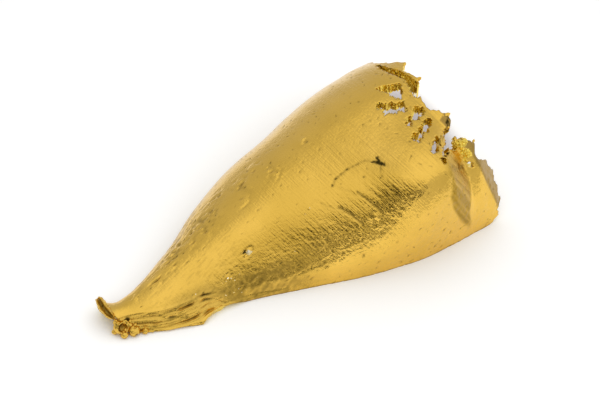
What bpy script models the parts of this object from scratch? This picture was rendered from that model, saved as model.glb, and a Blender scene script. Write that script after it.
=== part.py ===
"""Gold leaf: one thin sheet of native gold curled into a half horn.

The narrow knobbly tail is at -X and the torn mouth at +X. The sheet lies convex side
up on its two long edges, so it is open underneath. All of it grew as one piece.
"""

import math

import bmesh
import bpy
import numpy as np
from mathutils import Matrix, Vector

MM = 0.001

# Driving dimensions, in millimetres.
WALL = 0.45
CENTRE = (13.025, -0.234)  # middle of the finished leaf's box, which becomes X = Y = 0

# How the curled section changes along the leaf: distance along it, reach of the near edge,
# reach of the far edge, height of the crest, squareness of the near side, and the share of
# the near side's oval that lies below the ground.
STATIONS = np.array((
    (-1.0, 0.7, 1.6, 1.2, 2.0, 0.30),
    (0.5, 1.4, 1.4, 1.4, 2.0, 0.30),
    (2.0, 2.3, 1.5, 1.9, 2.0, 0.45),
    (4.0, 3.0, 2.2, 2.6, 2.0, 0.60),
    (6.0, 3.2, 3.1, 3.2, 2.0, 0.70),
    (8.5, 3.8, 4.5, 4.1, 2.0, 0.75),
    (12.0, 5.2, 5.8, 5.5, 2.1, 0.62),
    (16.0, 6.8, 6.5, 6.6, 2.6, 0.25),
    (18.0, 7.4, 7.0, 7.15, 3.3, 0.05),
    (20.0, 7.9, 7.4, 7.6, 6.2, 0.0),
    (21.6, 8.05, 7.6, 7.83, 7.5, 0.0),
    (23.0, 8.15, 7.7, 7.93, 4.4, 0.0),
    (24.2, 8.2, 7.8, 7.99, 2.9, 0.0),
    (25.3, 8.3, 7.75, 7.97, 3.6, 0.0),
    (26.5, 8.3, 7.7, 7.9, 3.6, 0.0),
    (28.0, 8.3, 7.4, 7.8, 2.2, 0.0),
))
FAR_SQUARENESS = 2.1

# The torn rim: how far round the section (-1 near edge, 0 crest, 1 far edge), and
# how far along the leaf the sheet ends there.
RIM = np.array((
    (-1.0, 25.9), (-0.955, 26.5), (-0.88, 26.9), (-0.836, 27.05), (-0.711, 26.8), (-0.644, 26.35),
    (-0.57, 25.35), (-0.527, 25.6), (-0.465, 25.0), (-0.39, 24.4), (-0.345, 25.1), (-0.305, 25.25),
    (-0.22, 24.4), (-0.15, 24.4), (-0.057, 25.05), (0.0, 25.65), (0.068, 25.5), (0.167, 25.75),
    (0.215, 26.25), (0.276, 25.75), (0.4, 25.35), (0.5, 25.4), (0.6, 26.1), (0.7, 26.0),
    (0.84, 26.7), (1.0, 26.2),
))
TAIL_END = np.array(((-1.0, -0.2), (-0.6, -0.3), (-0.3, -0.6), (0.3, -0.8), (1.0, -0.5)))
# How far the sheet flares out at the tail's end, round the section.
TAIL_FLARE = np.array(((-1.0, 0.0), (-0.4, 0.0), (0.0, 0.15), (0.35, 0.45), (0.65, 0.8), (1.0, 0.5)))
TAIL_FLARE_LENGTH = 1.3

# The dent in the near wall by the mouth: at each height, where it starts, is deepest and
# ends along the leaf, and how deep it is. Past it a flap turns in at a leaning crease.
DENT = np.array((
    (0.0, 23.7, 24.5, 25.5, 0.05),
    (2.0, 23.3, 24.4, 25.8, 0.35),
    (4.0, 22.7, 24.6, 26.0, 0.80),
    (6.0, 22.3, 24.8, 26.1, 1.20),
    (8.0, 22.3, 24.8, 26.1, 1.25),
))
DENT_LEFT_AT_END = 0.75  # share of the depth that stays where it ends
FLAP_FROM, FLAP_LEAN, FLAP_SLOPE, FLAP_SOFTNESS = 27.05, 0.35, 0.60, 0.08
# How far the near edge spreads over the ground: distance along the leaf, spread.
FOOT_SPREAD = np.array(((2.9, 0.0), (3.6, 0.12), (4.2, 0.42), (4.7, 0.22), (5.4, 0.05), (6.2, 0.0)))
FOOT_HEIGHT = 0.35

# Holes torn through the crest near the mouth, as outlines seen from above.
HOLES = (
    ((24.95, 4.1), (25.15, 2.1), (25.35, 0.7), (25.1, -0.4), (24.5, -1.2), (24.75, 0.3), (24.65, 2.15)),
    ((22.7, 1.5), (24.3, 0.5), (23.4, -0.6), (23.1, 0.3)),
    ((21.5, 0.15), (22.4, -0.4), (23.3, -1.05), (23.05, -1.65), (21.6, -0.95)),
    ((23.7, -1.85), (24.1, -2.4), (23.3, -2.75), (22.2, -2.88), (22.1, -2.52), (22.9, -2.35)),
    ((23.95, -3.15), (23.7, -3.6), (22.45, -4.05), (21.7, -4.5), (21.55, -4.05), (22.8, -3.55)),
    ((23.15, -4.85), (22.65, -5.55), (21.85, -5.97), (22.3, -5.4)),
    ((24.2, -4.5), (24.5, -4.75), (24.1, -5.5), (23.1, -5.95), (22.1, -6.7), (22.85, -5.85)),
    ((24.8, -6.42), (24.83, -6.53), (24.5, -6.7), (24.55, -6.5)),
)

# Lumps grown on the sheet: place along the leaf, across it and up, and radius.
TAIL_NODULES = ((-0.5, -0.72, 0.46, 0.5), (-0.62, -1.12, 0.27, 0.28), (0.3, -1.5, 0.32, 0.38),
                (1.1, -1.85, 0.22, 0.28))
# The same by the mouth: distance along, place round the section, radius.
MOUTH_CRYSTALS = ((24.7, -0.50, 0.5), (24.93, -0.457, 0.38), (24.47, -0.553, 0.36), (24.37, -0.393, 0.27))
# Prongs on the rim: distance along, place round, length, base radius, lean along the leaf.
PRONGS = ((25.6, 0.03, 0.8, 0.22, 0.5), (25.4, -0.527, 0.7, 0.18, 0.9), (26.0, 0.2, 0.5, 0.2, 0.6),
          (25.0, -0.32, 0.6, 0.26, 1.0))

ROWS_ALONG = 42
ROWS_ROUND = 34
SKIRT = 0.4  # the sheet is made this much too deep, then cut flat where it rests

GOLD = (0.86, 0.55, 0.12, 1.0)


def between(column, x):
    """Read a smooth curve through one column of the stations at x."""
    xs, ys = STATIONS[:, 0], STATIONS[:, column]
    last = len(xs) - 1
    i = int(np.clip(np.searchsorted(xs, x, side="right") - 1, 0, last - 1))

    def slope(k):
        low, high = max(0, k - 1), min(last, k + 1)
        return (ys[high] - ys[low]) / (xs[high] - xs[low])

    step = xs[i + 1] - xs[i]
    t = (x - xs[i]) / step
    return (
        (2 * t**3 - 3 * t**2 + 1) * ys[i]
        + (t**3 - 2 * t**2 + t) * step * slope(i)
        + (3 * t**2 - 2 * t**3) * ys[i + 1]
        + (t**3 - t**2) * step * slope(i + 1)
    )


def read(table, place):
    """Read a line through the points of a two-column table."""
    return float(np.interp(place, table[:, 0], table[:, 1]))


def fold_in(x, z):
    """How far the near wall is pushed in by the dent and the turned flap."""
    start, deepest, end, deep = (np.interp(z, DENT[:, 0], DENT[:, k]) for k in (1, 2, 3, 4))
    rise = min(max((x - start) / (deepest - start), 0.0), 1.0)
    rise = 0.5 * rise + 0.5 * rise * rise * (3 - 2 * rise)
    fall = 1 - (1 - DENT_LEFT_AT_END) * min(max((x - deepest) / (end - deepest), 0.0), 1.0)
    past_crease = (x - FLAP_FROM + FLAP_LEAN * z) / FLAP_SOFTNESS
    return deep * rise * fall + FLAP_SLOPE * FLAP_SOFTNESS * np.logaddexp(0.0, past_crease)


def oval(turn, squareness, sunk):
    """Across and up, from 0 to 1, on an oval whose lowest share is cut off by the ground."""
    widest = (1 - sunk**squareness) ** (1 / squareness)
    lowest = math.atan2(sunk, widest)
    angle = lowest + (math.pi / 2 - lowest) * (1 - abs(turn))
    across, up = max(math.cos(angle), 0.0), math.sin(angle)
    reach = (across**squareness + up**squareness) ** (-1 / squareness)
    return reach * across / widest, max(reach * up - sunk, 0.0) / (1 - sunk)


def leaf_point(x, turn):
    """The outer surface at x along the leaf and turn (-1 near edge .. 1 far edge) round it."""
    near = turn < 0
    squareness = between(4, x) if near else FAR_SQUARENESS
    sunk = min(max(between(5, x), 0.0), 0.95) if near else 0.0
    across, up = oval(turn, squareness, sunk)
    z = between(3, x) * up
    y = between(2, x) * across
    if near:
        y = -between(1, x) * across + fold_in(x, z) * min(across * 1.6, 1.0) ** 2
        y -= read(FOOT_SPREAD, x) * math.exp(-z / FOOT_HEIGHT)
    flare = read(TAIL_FLARE, turn) * max(1 - (x + 0.8) / TAIL_FLARE_LENGTH, 0.0) ** 2
    lean = math.pi / 2 * turn
    return Vector((x, y + flare * math.sin(lean), z + flare * math.cos(lean)))


def to_metres(point):
    return Vector(((point[0] - CENTRE[0]) * MM, (point[1] - CENTRE[1]) * MM, point[2] * MM))


def outward(x, turn):
    """The direction straight out of the sheet."""
    along = leaf_point(x + 0.05, turn) - leaf_point(x - 0.05, turn)
    across = leaf_point(x, min(turn + 0.01, 0.999)) - leaf_point(x, max(turn - 0.01, -0.999))
    return along.cross(across).normalized()


def link(name, bm, collection):
    mesh = bpy.data.meshes.new(name)
    bm.to_mesh(mesh)
    bm.free()
    made = bpy.data.objects.new(name, mesh)
    collection.objects.link(made)
    return made


def make_sheet(collection):
    """The curled sheet as an open surface, thickened inwards."""
    bm = bmesh.new()
    bmesh.ops.create_grid(bm, x_segments=ROWS_ALONG, y_segments=ROWS_ROUND + 2, size=1.0)
    for vert in bm.verts:
        along = (vert.co.x + 1) / 2
        row = round((vert.co.y + 1) / 2 * (ROWS_ROUND + 2))
        turn = -1 + 2 * (min(max(row, 1), ROWS_ROUND + 1) - 1) / ROWS_ROUND
        start = read(TAIL_END, turn)
        point = leaf_point(start + along * (read(RIM, turn) - start), turn)
        if row in (0, ROWS_ROUND + 2):
            point.z = -SKIRT
        vert.co = to_metres(point)
    bmesh.ops.recalc_face_normals(bm, faces=bm.faces)
    sheet = link("gold_leaf", bm, collection)
    solid = sheet.modifiers.new("wall", "SOLIDIFY")
    solid.thickness = WALL * MM
    solid.offset = -1.0
    return sheet


def prism(name, outline, low, high, collection):
    """A straight-sided block over an outline seen from above."""
    bm = bmesh.new()
    corners = [bm.verts.new(to_metres((x, y, low))) for x, y in outline]
    face = bm.faces.new(corners)
    raised = bmesh.ops.extrude_face_region(bm, geom=[face])["geom"]
    top = [item for item in raised if isinstance(item, bmesh.types.BMVert)]
    bmesh.ops.translate(bm, vec=(0, 0, (high - low) * MM), verts=top)
    bmesh.ops.recalc_face_normals(bm, faces=bm.faces)
    return link(name, bm, collection)


def lump(name, centre, radius, collection):
    """A rounded grain half sunk in the sheet."""
    bm = bmesh.new()
    bmesh.ops.create_icosphere(bm, subdivisions=2, radius=radius * MM)
    bmesh.ops.translate(bm, vec=to_metres(centre), verts=bm.verts)
    return link(name, bm, collection)


def prong(name, x, turn, length, radius, lean, collection):
    """A pointed crystal that leans out of the rim."""
    bm = bmesh.new()
    bmesh.ops.create_cone(
        bm, cap_ends=True, segments=8, radius1=radius * MM, radius2=0.25 * radius * MM, depth=length * MM
    )
    direction = (outward(x, turn) + Vector((lean, 0, 0))).normalized()
    turned = direction.to_track_quat("Z", "Y").to_matrix().to_4x4()
    middle = leaf_point(x, turn) + direction * (length / 2 - 0.2)
    bmesh.ops.transform(bm, matrix=Matrix.Translation(to_metres(middle)) @ turned, verts=bm.verts)
    return link(name, bm, collection)


def combine(target, tool, operation):
    change = target.modifiers.new(tool.name, "BOOLEAN")
    change.operation = operation
    change.solver = "EXACT"
    change.object = tool
    tool.hide_render = True
    tool.display_type = "WIRE"


def gold():
    material = bpy.data.materials.new("gold")
    material.use_nodes = True
    shader = material.node_tree.nodes["Principled BSDF"]
    shader.inputs["Base Color"].default_value = GOLD
    shader.inputs["Metallic"].default_value = 1.0
    shader.inputs["Roughness"].default_value = 0.3
    return material


def main():
    for old in list(bpy.data.objects):
        bpy.data.objects.remove(old)
    parts = bpy.data.collections.new("gold_leaf_specimen")
    tools = bpy.data.collections.new("cutters")
    for collection in (parts, tools):
        bpy.context.scene.collection.children.link(collection)

    leaf = make_sheet(parts)
    leaf.data.materials.append(gold())
    for i, outline in enumerate(HOLES):
        combine(leaf, prism(f"hole_{i}", outline, 2.0, 12.0, tools), "DIFFERENCE")
    grown = [lump(f"nodule_{i}", row[:3], row[3], tools) for i, row in enumerate(TAIL_NODULES)]
    grown += [lump(f"crystal_{i}", leaf_point(x, turn), radius, tools)
              for i, (x, turn, radius) in enumerate(MOUTH_CRYSTALS)]
    grown += [prong(f"prong_{i}", *row, tools) for i, row in enumerate(PRONGS)]
    for tool in grown:
        combine(leaf, tool, "UNION")
    ground = ((-20, -30), (50, -30), (50, 30), (-20, 30))
    combine(leaf, prism("ground", ground, -5.0, 0.0, tools), "DIFFERENCE")


main()
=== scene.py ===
"""The finish of a leaf of native gold, built round its solid model.

One thin sheet curled into a half horn: a narrow knobbly tail, a wide torn mouth, holes
and crystals near the rim. The outer skin is satin gold; torn edges and the underside
are crystalline.
"""

import math

import bmesh
import bpy
import numpy as np
from mathutils import Euler, Matrix, Vector


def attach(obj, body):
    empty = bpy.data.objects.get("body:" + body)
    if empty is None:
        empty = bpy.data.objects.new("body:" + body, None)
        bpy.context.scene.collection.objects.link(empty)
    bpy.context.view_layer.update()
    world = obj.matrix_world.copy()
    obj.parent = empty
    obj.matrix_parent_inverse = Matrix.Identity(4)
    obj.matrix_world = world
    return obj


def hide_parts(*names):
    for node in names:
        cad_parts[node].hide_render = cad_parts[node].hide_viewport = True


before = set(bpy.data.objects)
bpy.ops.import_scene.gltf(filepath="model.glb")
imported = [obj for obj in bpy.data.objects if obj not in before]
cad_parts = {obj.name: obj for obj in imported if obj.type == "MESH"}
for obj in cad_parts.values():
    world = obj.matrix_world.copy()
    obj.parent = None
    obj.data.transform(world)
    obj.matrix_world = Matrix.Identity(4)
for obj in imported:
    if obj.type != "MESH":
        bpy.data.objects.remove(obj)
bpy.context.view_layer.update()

bl_info = {
    "name": "Gold leaf",
    "version": (1, 0, 0),
    "blender": (4, 5, 0),
    "location": "3D View > Sidebar > Gold leaf",
    "description": "Builds a curled leaf of native gold with a torn, crystalline mouth",
    "category": "Add Mesh",
}

MM = 0.001
NODE = "gold_leaf"
BODY = "root"

# ---- The curled sheet, in millimetres, as the solid model has it ----

CENTRE = (13.025, -0.234)  # place along and across the leaf that becomes X = Y = 0
# distance along the leaf, reach of the near edge, reach of the far edge, crest height,
# squareness of the near side, share of the near side's oval that lies below the ground
STATIONS = np.array((
    (-1.0, 0.7, 1.6, 1.2, 2.0, 0.30),
    (0.5, 1.4, 1.4, 1.4, 2.0, 0.30),
    (2.0, 2.3, 1.5, 1.9, 2.0, 0.45),
    (4.0, 3.0, 2.2, 2.6, 2.0, 0.60),
    (6.0, 3.2, 3.1, 3.2, 2.0, 0.70),
    (8.5, 3.8, 4.5, 4.1, 2.0, 0.75),
    (12.0, 5.2, 5.8, 5.5, 2.1, 0.62),
    (16.0, 6.8, 6.5, 6.6, 2.6, 0.25),
    (18.0, 7.4, 7.0, 7.15, 3.3, 0.05),
    (20.0, 7.9, 7.4, 7.6, 6.2, 0.0),
    (21.6, 8.05, 7.6, 7.83, 7.5, 0.0),
    (23.0, 8.15, 7.7, 7.93, 4.4, 0.0),
    (24.2, 8.2, 7.8, 7.99, 2.9, 0.0),
    (25.3, 8.3, 7.75, 7.97, 3.6, 0.0),
    (26.5, 8.3, 7.7, 7.9, 3.6, 0.0),
    (28.0, 8.3, 7.4, 7.8, 2.2, 0.0),
))
FAR_SQUARENESS = 2.1
# place round the section (-1 near edge, 0 crest, 1 far edge), and where the rim is there
RIM = np.array((
    (-1.0, 25.9), (-0.985, 26.25), (-0.955, 26.55), (-0.905, 26.65), (-0.88, 26.95), (-0.836, 27.05),
    (-0.795, 27.0), (-0.753, 26.9), (-0.711, 26.8), (-0.676, 26.65), (-0.644, 26.35), (-0.609, 25.9),
    (-0.59, 25.6), (-0.57, 25.35), (-0.55, 25.35), (-0.537, 25.45), (-0.527, 25.7), (-0.51, 25.4),
    (-0.493, 25.1), (-0.465, 25.0), (-0.442, 24.75), (-0.41, 24.5), (-0.39, 24.4), (-0.375, 24.9),
    (-0.345, 25.2), (-0.305, 25.25), (-0.263, 24.8), (-0.22, 24.4), (-0.186, 24.3), (-0.15, 24.4),
    (-0.105, 24.7), (-0.057, 25.05), (-0.015, 25.4), (0.0, 25.65), (0.029, 25.85), (0.036, 25.5),
    (0.068, 25.5), (0.12, 25.55), (0.167, 25.75), (0.185, 26.05), (0.215, 26.25), (0.276, 25.75),
    (0.335, 25.5), (0.4, 25.35), (0.5, 25.4), (0.6, 26.1), (0.7, 26.0), (0.84, 26.7), (1.0, 26.2),
))
TAIL_END = np.array(((-1.0, -0.2), (-0.6, -0.3), (-0.3, -0.6), (0.3, -0.8), (1.0, -0.5)))
# how far the sheet flares out at the tail's end, round the section
TAIL_FLARE = np.array(((-1.0, 0.0), (-0.4, 0.0), (0.0, 0.15), (0.35, 0.45), (0.65, 0.8), (1.0, 0.5)))
TAIL_FLARE_LENGTH = 1.3
# the dent in the near wall by the mouth: at each height, where it starts and is deepest along
# the leaf, and how deep it is; the skin bridges part of the solid's dent
DENT = np.array((
    (0.0, 23.7, 25.3, 0.04), (2.0, 23.3, 25.6, 0.27), (4.0, 22.7, 25.8, 0.60), (6.0, 22.3, 25.9, 0.90),
    (8.0, 22.3, 25.9, 0.93),
))
FLAP_FROM, FLAP_LEAN, FLAP_SLOPE, FLAP_SOFTNESS = 27.05, 0.35, 0.60, 0.08
# how far the near edge spreads over the ground: distance along the leaf, spread
FOOT_SPREAD = np.array(((2.9, 0.0), (3.6, 0.12), (4.2, 0.42), (4.7, 0.22), (5.4, 0.05), (6.2, 0.0)))
# how far the near edge is off the ground
FOOT_LIFT = np.array(((4.0, 0.0), (4.8, 0.3), (5.8, 0.42), (6.8, 0.3), (7.8, 0.0)))
HOLES = (
    ((24.95, 4.1), (24.95, 3.1), (25.15, 2.1), (25.3, 1.4), (25.35, 0.7), (25.35, 0.1), (25.1, -0.4),
     (24.8, -0.95), (24.5, -1.2), (24.4, -1.0), (24.5, -0.4), (24.75, 0.3), (24.9, 0.9), (24.8, 1.5),
     (24.65, 2.15), (24.6, 3.1)),
    ((22.7, 1.5), (23.4, 1.1), (24.3, 0.5), (23.9, 0.0), (23.4, -0.6), (23.2, 0.0), (23.1, 0.4)),
    ((21.5, 0.15), (22.0, -0.1), (22.4, -0.4), (23.3, -1.05), (23.05, -1.65), (22.4, -1.3),
     (21.6, -0.95), (21.9, -0.55)),
    ((23.7, -1.85), (24.1, -2.4), (23.65, -2.7), (23.4, -2.8), (23.3, -2.65), (23.0, -2.8),
     (22.85, -2.6), (22.4, -2.83), (22.2, -2.88), (22.1, -2.52), (22.9, -2.35)),
    ((23.95, -3.15), (23.8, -3.45), (23.35, -3.8), (22.85, -4.0), (22.45, -4.05), (22.0, -4.33),
     (21.7, -4.5), (21.55, -4.05), (22.25, -3.83), (22.8, -3.55), (23.4, -3.35)),
    ((23.15, -4.85), (23.15, -5.0), (22.65, -5.55), (22.3, -5.77), (21.85, -5.97), (21.9, -5.75),
     (22.3, -5.45), (22.65, -5.1)),
    ((24.2, -4.5), (24.5, -4.75), (24.4, -5.0), (24.3, -5.3), (24.1, -5.55), (23.65, -5.85),
     (23.6, -5.6), (23.1, -5.95), (22.55, -6.4), (22.0, -6.8), (22.15, -6.55), (22.55, -6.25),
     (22.85, -5.85), (23.4, -5.5), (23.8, -4.97)),
    ((24.05, -5.68), (24.28, -5.62), (24.26, -5.75), (24.02, -5.85)),
    ((24.8, -6.42), (24.83, -6.53), (24.65, -6.66), (24.47, -6.67), (24.62, -6.5)),
)


def between(column, x):
    """Read a smooth curve through one column of the stations at every x."""
    xs, ys = STATIONS[:, 0], STATIONS[:, column]
    slopes = np.empty_like(ys)
    slopes[1:-1] = (ys[2:] - ys[:-2]) / (xs[2:] - xs[:-2])
    slopes[0] = (ys[1] - ys[0]) / (xs[1] - xs[0])
    slopes[-1] = (ys[-1] - ys[-2]) / (xs[-1] - xs[-2])
    i = np.clip(np.searchsorted(xs, x, side="right") - 1, 0, len(xs) - 2)
    step = xs[i + 1] - xs[i]
    t = (x - xs[i]) / step
    return (
        (2 * t**3 - 3 * t**2 + 1) * ys[i]
        + (t**3 - 2 * t**2 + t) * step * slopes[i]
        + (3 * t**2 - 2 * t**3) * ys[i + 1]
        + (t**3 - t**2) * step * slopes[i + 1]
    )


def soft_step(low, high, value):
    share = np.clip((value - low) / (high - low), 0.0, 1.0)
    return share * share * (3 - 2 * share)


def read(table, place):
    """Read a line through the points of a two-column table."""
    return np.interp(place, table[:, 0], table[:, 1])


def fold_in(x, z):
    """How far the near wall is pushed in by the dent and the turned flap."""
    start, deepest, deep = (np.interp(z, DENT[:, 0], DENT[:, k]) for k in (1, 2, 3))
    rise = np.clip((x - start) / (deepest - start), 0.0, 1.0)
    rise = 0.5 * rise + 0.5 * soft_step(0.0, 1.0, rise)
    past_crease = (x - FLAP_FROM + FLAP_LEAN * z) / FLAP_SOFTNESS
    return deep * rise + FLAP_SLOPE * FLAP_SOFTNESS * np.logaddexp(0.0, past_crease)


def oval(turn, squareness, sunk):
    """Across and up, from 0 to 1, on an oval whose lowest share is cut off by the ground."""
    widest = (1 - sunk**squareness) ** (1 / squareness)
    lowest = np.arctan2(sunk, widest)
    angle = lowest + (math.pi / 2 - lowest) * (1 - np.abs(turn))
    across, up = np.clip(np.cos(angle), 0.0, 1.0), np.sin(angle)
    reach = (across**squareness + up**squareness) ** (-1 / squareness)
    return reach * across / widest, np.clip(reach * up - sunk, 0.0, None) / (1 - sunk)


def surface(x, turn):
    """The smooth outer surface: x along the leaf, turn from -1 (near edge) to 1 (far edge)."""
    near = turn < 0
    squareness = np.where(near, between(4, x), FAR_SQUARENESS)
    sunk = np.where(near, np.clip(between(5, x), 0.0, 0.95), 0.0)
    across, up = oval(turn, squareness, sunk)
    z = between(3, x) * up
    y = np.where(near, -between(1, x), between(2, x)) * across
    folded = fold_in(x, z) * np.clip(across * 1.6, 0.0, 1.0) ** 2
    at_foot = np.exp(-z / 0.35)
    y = y + np.where(near, folded - read(FOOT_SPREAD, x) * at_foot, 0.0)
    z = z + np.where(near, read(FOOT_LIFT, x) * at_foot, 0.0)
    flare = read(TAIL_FLARE, turn) * np.clip(1 - (x + 0.8) / TAIL_FLARE_LENGTH, 0.0, None) ** 2
    lean = math.pi / 2 * turn
    return np.stack((x, y + flare * np.sin(lean), z + flare * np.cos(lean)), axis=-1)


def surface_normal(x, turn):
    inside = np.clip(turn, -0.985, 0.985)
    along = surface(x + 0.04, inside) - surface(x - 0.04, inside)
    across = surface(x, inside + 0.008) - surface(x, inside - 0.008)
    normal = np.cross(along, across)
    return normal / np.linalg.norm(normal, axis=-1, keepdims=True)


def to_frame(points):
    """From millimetres along and across the leaf to metres in the model's frame."""
    return (points - np.array((CENTRE[0], CENTRE[1], 0.0))) * MM


# ---- Noise ----

FAR_AWAY = 1e9  # farther than anything is


def cell_hash(cells, seed):
    """A repeatable number from 0 to 1 for every whole-number cell."""
    h = cells[..., 0] * 73856093 ^ cells[..., 1] * 19349663 ^ cells[..., 2] * 83492791
    h = (h ^ (seed * 40503 + 12345)) & 0xFFFFFFFF
    h = ((h ^ (h >> 15)) * 0x2C1B3C6D) & 0xFFFFFFFF
    h = ((h ^ (h >> 12)) * 0x297A2D39) & 0xFFFFFFFF
    return ((h ^ (h >> 15)) & 0xFFFFFF) / float(0xFFFFFF)


def smooth_noise(points, size, seed):
    """Noise from -1 to 1 whose features are size millimetres wide along each axis."""
    scaled = points / np.asarray(size, dtype=float)
    base = np.floor(scaled).astype(np.int64)
    part = scaled - base
    part = part * part * (3 - 2 * part)
    total = np.zeros(len(points))
    for dx in (0, 1):
        for dy in (0, 1):
            for dz in (0, 1):
                weight = (
                    (part[:, 0] if dx else 1 - part[:, 0])
                    * (part[:, 1] if dy else 1 - part[:, 1])
                    * (part[:, 2] if dz else 1 - part[:, 2])
                )
                total += weight * cell_hash(base + np.array((dx, dy, dz)), seed)
    return total * 2 - 1


def facets(points, size, seed, tilt=1.0):
    """Heights from about -1 to 1 that make each cell a flat, tilted crystal face."""
    scaled = points / size
    base = np.floor(scaled).astype(np.int64)
    best = np.full(len(points), FAR_AWAY)
    height = np.zeros(len(points))
    for dx in (-1, 0, 1):
        for dy in (-1, 0, 1):
            for dz in (-1, 0, 1):
                cell = base + np.array((dx, dy, dz))
                jitter = np.stack([cell_hash(cell, seed + k) for k in (1, 2, 3)], axis=-1)
                offset = scaled - (cell + jitter)
                far = (offset**2).sum(-1)
                lean = np.stack([cell_hash(cell, seed + k) for k in (4, 5, 6)], axis=-1) - 0.5
                level = cell_hash(cell, seed + 7) * 2 - 1
                value = 0.5 * level + tilt * (offset * lean).sum(-1) * 2
                closer = far < best
                best = np.where(closer, far, best)
                height = np.where(closer, value, height)
    return height


# ---- Outlines of the torn holes ----


def near_line(px, py, line):
    """Distance in plan to an open line."""
    nearest = np.full(px.shape, FAR_AWAY)
    for (x0, y0), (x1, y1) in zip(line, line[1:]):
        ex, ey = x1 - x0, y1 - y0
        t = np.clip(((px - x0) * ex + (py - y0) * ey) / (ex * ex + ey * ey), 0.0, 1.0)
        nearest = np.minimum(nearest, np.hypot(px - x0 - t * ex, py - y0 - t * ey))
    return nearest


def distance_outside(px, py, outline):
    """Signed distance in plan to a closed outline: positive outside it."""
    closed = outline + outline[:1]
    inside = np.zeros(px.shape, dtype=bool)
    for (x0, y0), (x1, y1) in zip(closed, closed[1:]):
        crosses = (y0 > py) != (y1 > py)
        with np.errstate(divide="ignore", invalid="ignore"):
            inside ^= crosses & (px < (x1 - x0) * (py - y0) / (y1 - y0) + x0)
    nearest = near_line(px, py, closed)
    return np.where(inside, -nearest, nearest)


STRIP_WIDTH, STRIP_REACH = 0.15, 0.13


def metal_left(x, turn):
    """Distance in plan to the nearest hole: negative where the sheet is torn away."""
    at = surface(x, turn)
    cells = np.zeros(x.shape + (3,), dtype=np.int64)
    cells[..., 0] = np.floor(x / STRIP_WIDTH).astype(np.int64)
    shift = (cell_hash(cells, 11) - 0.5) * 2 * STRIP_REACH
    wander = 0.06 * smooth_noise(at.reshape(-1, 3), (0.3, 0.3, 0.3), 12).reshape(x.shape)
    left = np.full(x.shape, FAR_AWAY)
    for outline in HOLES:
        left = np.minimum(left, distance_outside(at[..., 0] + wander, at[..., 1] + shift, outline))
    return left


# ---- The sheet's mesh ----


def finish_mesh(name, bm):
    mesh = bpy.data.meshes.new(name)
    bm.to_mesh(mesh)
    bm.free()
    return mesh


COLUMNS, ROWS = 262, 180
FINE_FROM = 0.5  # share of the length from which the columns are closer
FINE_SHARE = 0.36  # share of the columns used before that
FAR_FROM = 0.45  # place round the section past which the rows are wider apart
FAR_SHARE = 0.82  # share of the rows used before that


def column_place(share):
    """Spread the columns so that they are closer by the mouth."""
    return np.interp(share, (0.0, FINE_SHARE, 1.0), (0.0, FINE_FROM, 1.0))


def row_place(share):
    """Spread the rows so that they are closer on the near side and the crest."""
    return np.interp(share, (0.0, FAR_SHARE, 1.0), (-1.0, FAR_FROM, 1.0))


def rim_teeth(turn, seed):
    """Fine ragged teeth along a torn edge."""
    at = np.zeros((len(turn), 3))
    at[:, 0] = turn * 12.0
    coarse = smooth_noise(at, (0.5, 1, 1), seed)
    fine = smooth_noise(at, (0.17, 1, 1), seed + 1)
    return 0.16 * coarse + 0.12 * fine


def tear_holes(bm, along, around):
    """Delete the vertices over the holes, then any corner that joins metal at a point."""
    verts = list(bm.verts)
    x = np.array([v[along] for v in verts])
    turn = np.array([v[around] for v in verts])
    left = metal_left(x, turn)
    gone = [v for v, d in zip(verts, left) if d < 0]
    bmesh.ops.delete(bm, geom=gone, context="VERTS")
    while True:
        pinched = [v for v in bm.verts if sum(e.is_boundary for e in v.link_edges) > 2]
        loose = [v for v in bm.verts if not v.link_faces]
        if not pinched and not loose:
            break
        bmesh.ops.delete(bm, geom=list(set(pinched + loose)), context="VERTS")
    islands = sorted(connected(bm), key=len)
    for island in islands[:-1]:
        bmesh.ops.delete(bm, geom=island, context="VERTS")


def connected(bm):
    """The mesh's separate pieces, as lists of vertices."""
    seen, groups = set(), []
    for start in bm.verts:
        if start in seen:
            continue
        group, queue = [], [start]
        seen.add(start)
        while queue:
            vert = queue.pop()
            group.append(vert)
            for edge in vert.link_edges:
                other = edge.other_vert(vert)
                if other not in seen:
                    seen.add(other)
                    queue.append(other)
        groups.append(group)
    return groups


# ---- Relief of the outer skin; places are (along, round) or (along, across), in millimetres ----

# the fold that runs up the near side of the tail: along, round
RIDGE = np.array((
    (-0.5, -0.25), (0.3, -0.33), (1.4, -0.51), (2.2, -0.58), (3.1, -0.63), (4.0, -0.64), (5.1, -0.67),
    (6.0, -0.76), (6.6, -0.88), (7.5, -1.0),
))
# where the near side bends over: along, round
BEND = np.array((
    (4.0, -0.72), (8.0, -0.72), (12.0, -0.73), (14.0, -0.67), (16.0, -0.62), (18.0, -0.54), (20.0, -0.47),
    (21.3, -0.46), (23.0, -0.46),
))
# broad swellings of the skin: along, round, reach along, reach round, height
SWELLINGS = (
    (11.8, -0.89, 3.3, 0.16, 0.26), (16.4, -0.77, 2.2, 0.14, 0.14), (20.9, -0.42, 2.0, 0.12, 0.16),
    (25.0, -0.56, 1.4, 0.14, 0.22),
)
# patches with a hammered look: along, round, reach along, reach round
HAMMERED = (
    (11.25, 0.20, 0.55, 0.09), (13.3, 0.09, 0.40, 0.08), (10.4, 0.05, 0.45, 0.05), (9.6, 0.35, 0.6, 0.07),
    (8.6, 0.24, 0.5, 0.07), (7.5, 0.09, 0.40, 0.08), (7.0, 0.23, 0.45, 0.07), (6.1, 0.13, 0.5, 0.06),
    (5.2, 0.30, 0.6, 0.10), (4.2, 0.10, 0.6, 0.10), (2.8, 0.03, 0.6, 0.12), (1.3, 0.07, 0.45, 0.12),
    (12.6, 0.25, 0.5, 0.05), (16.3, 0.13, 0.35, 0.03),
)
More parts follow.
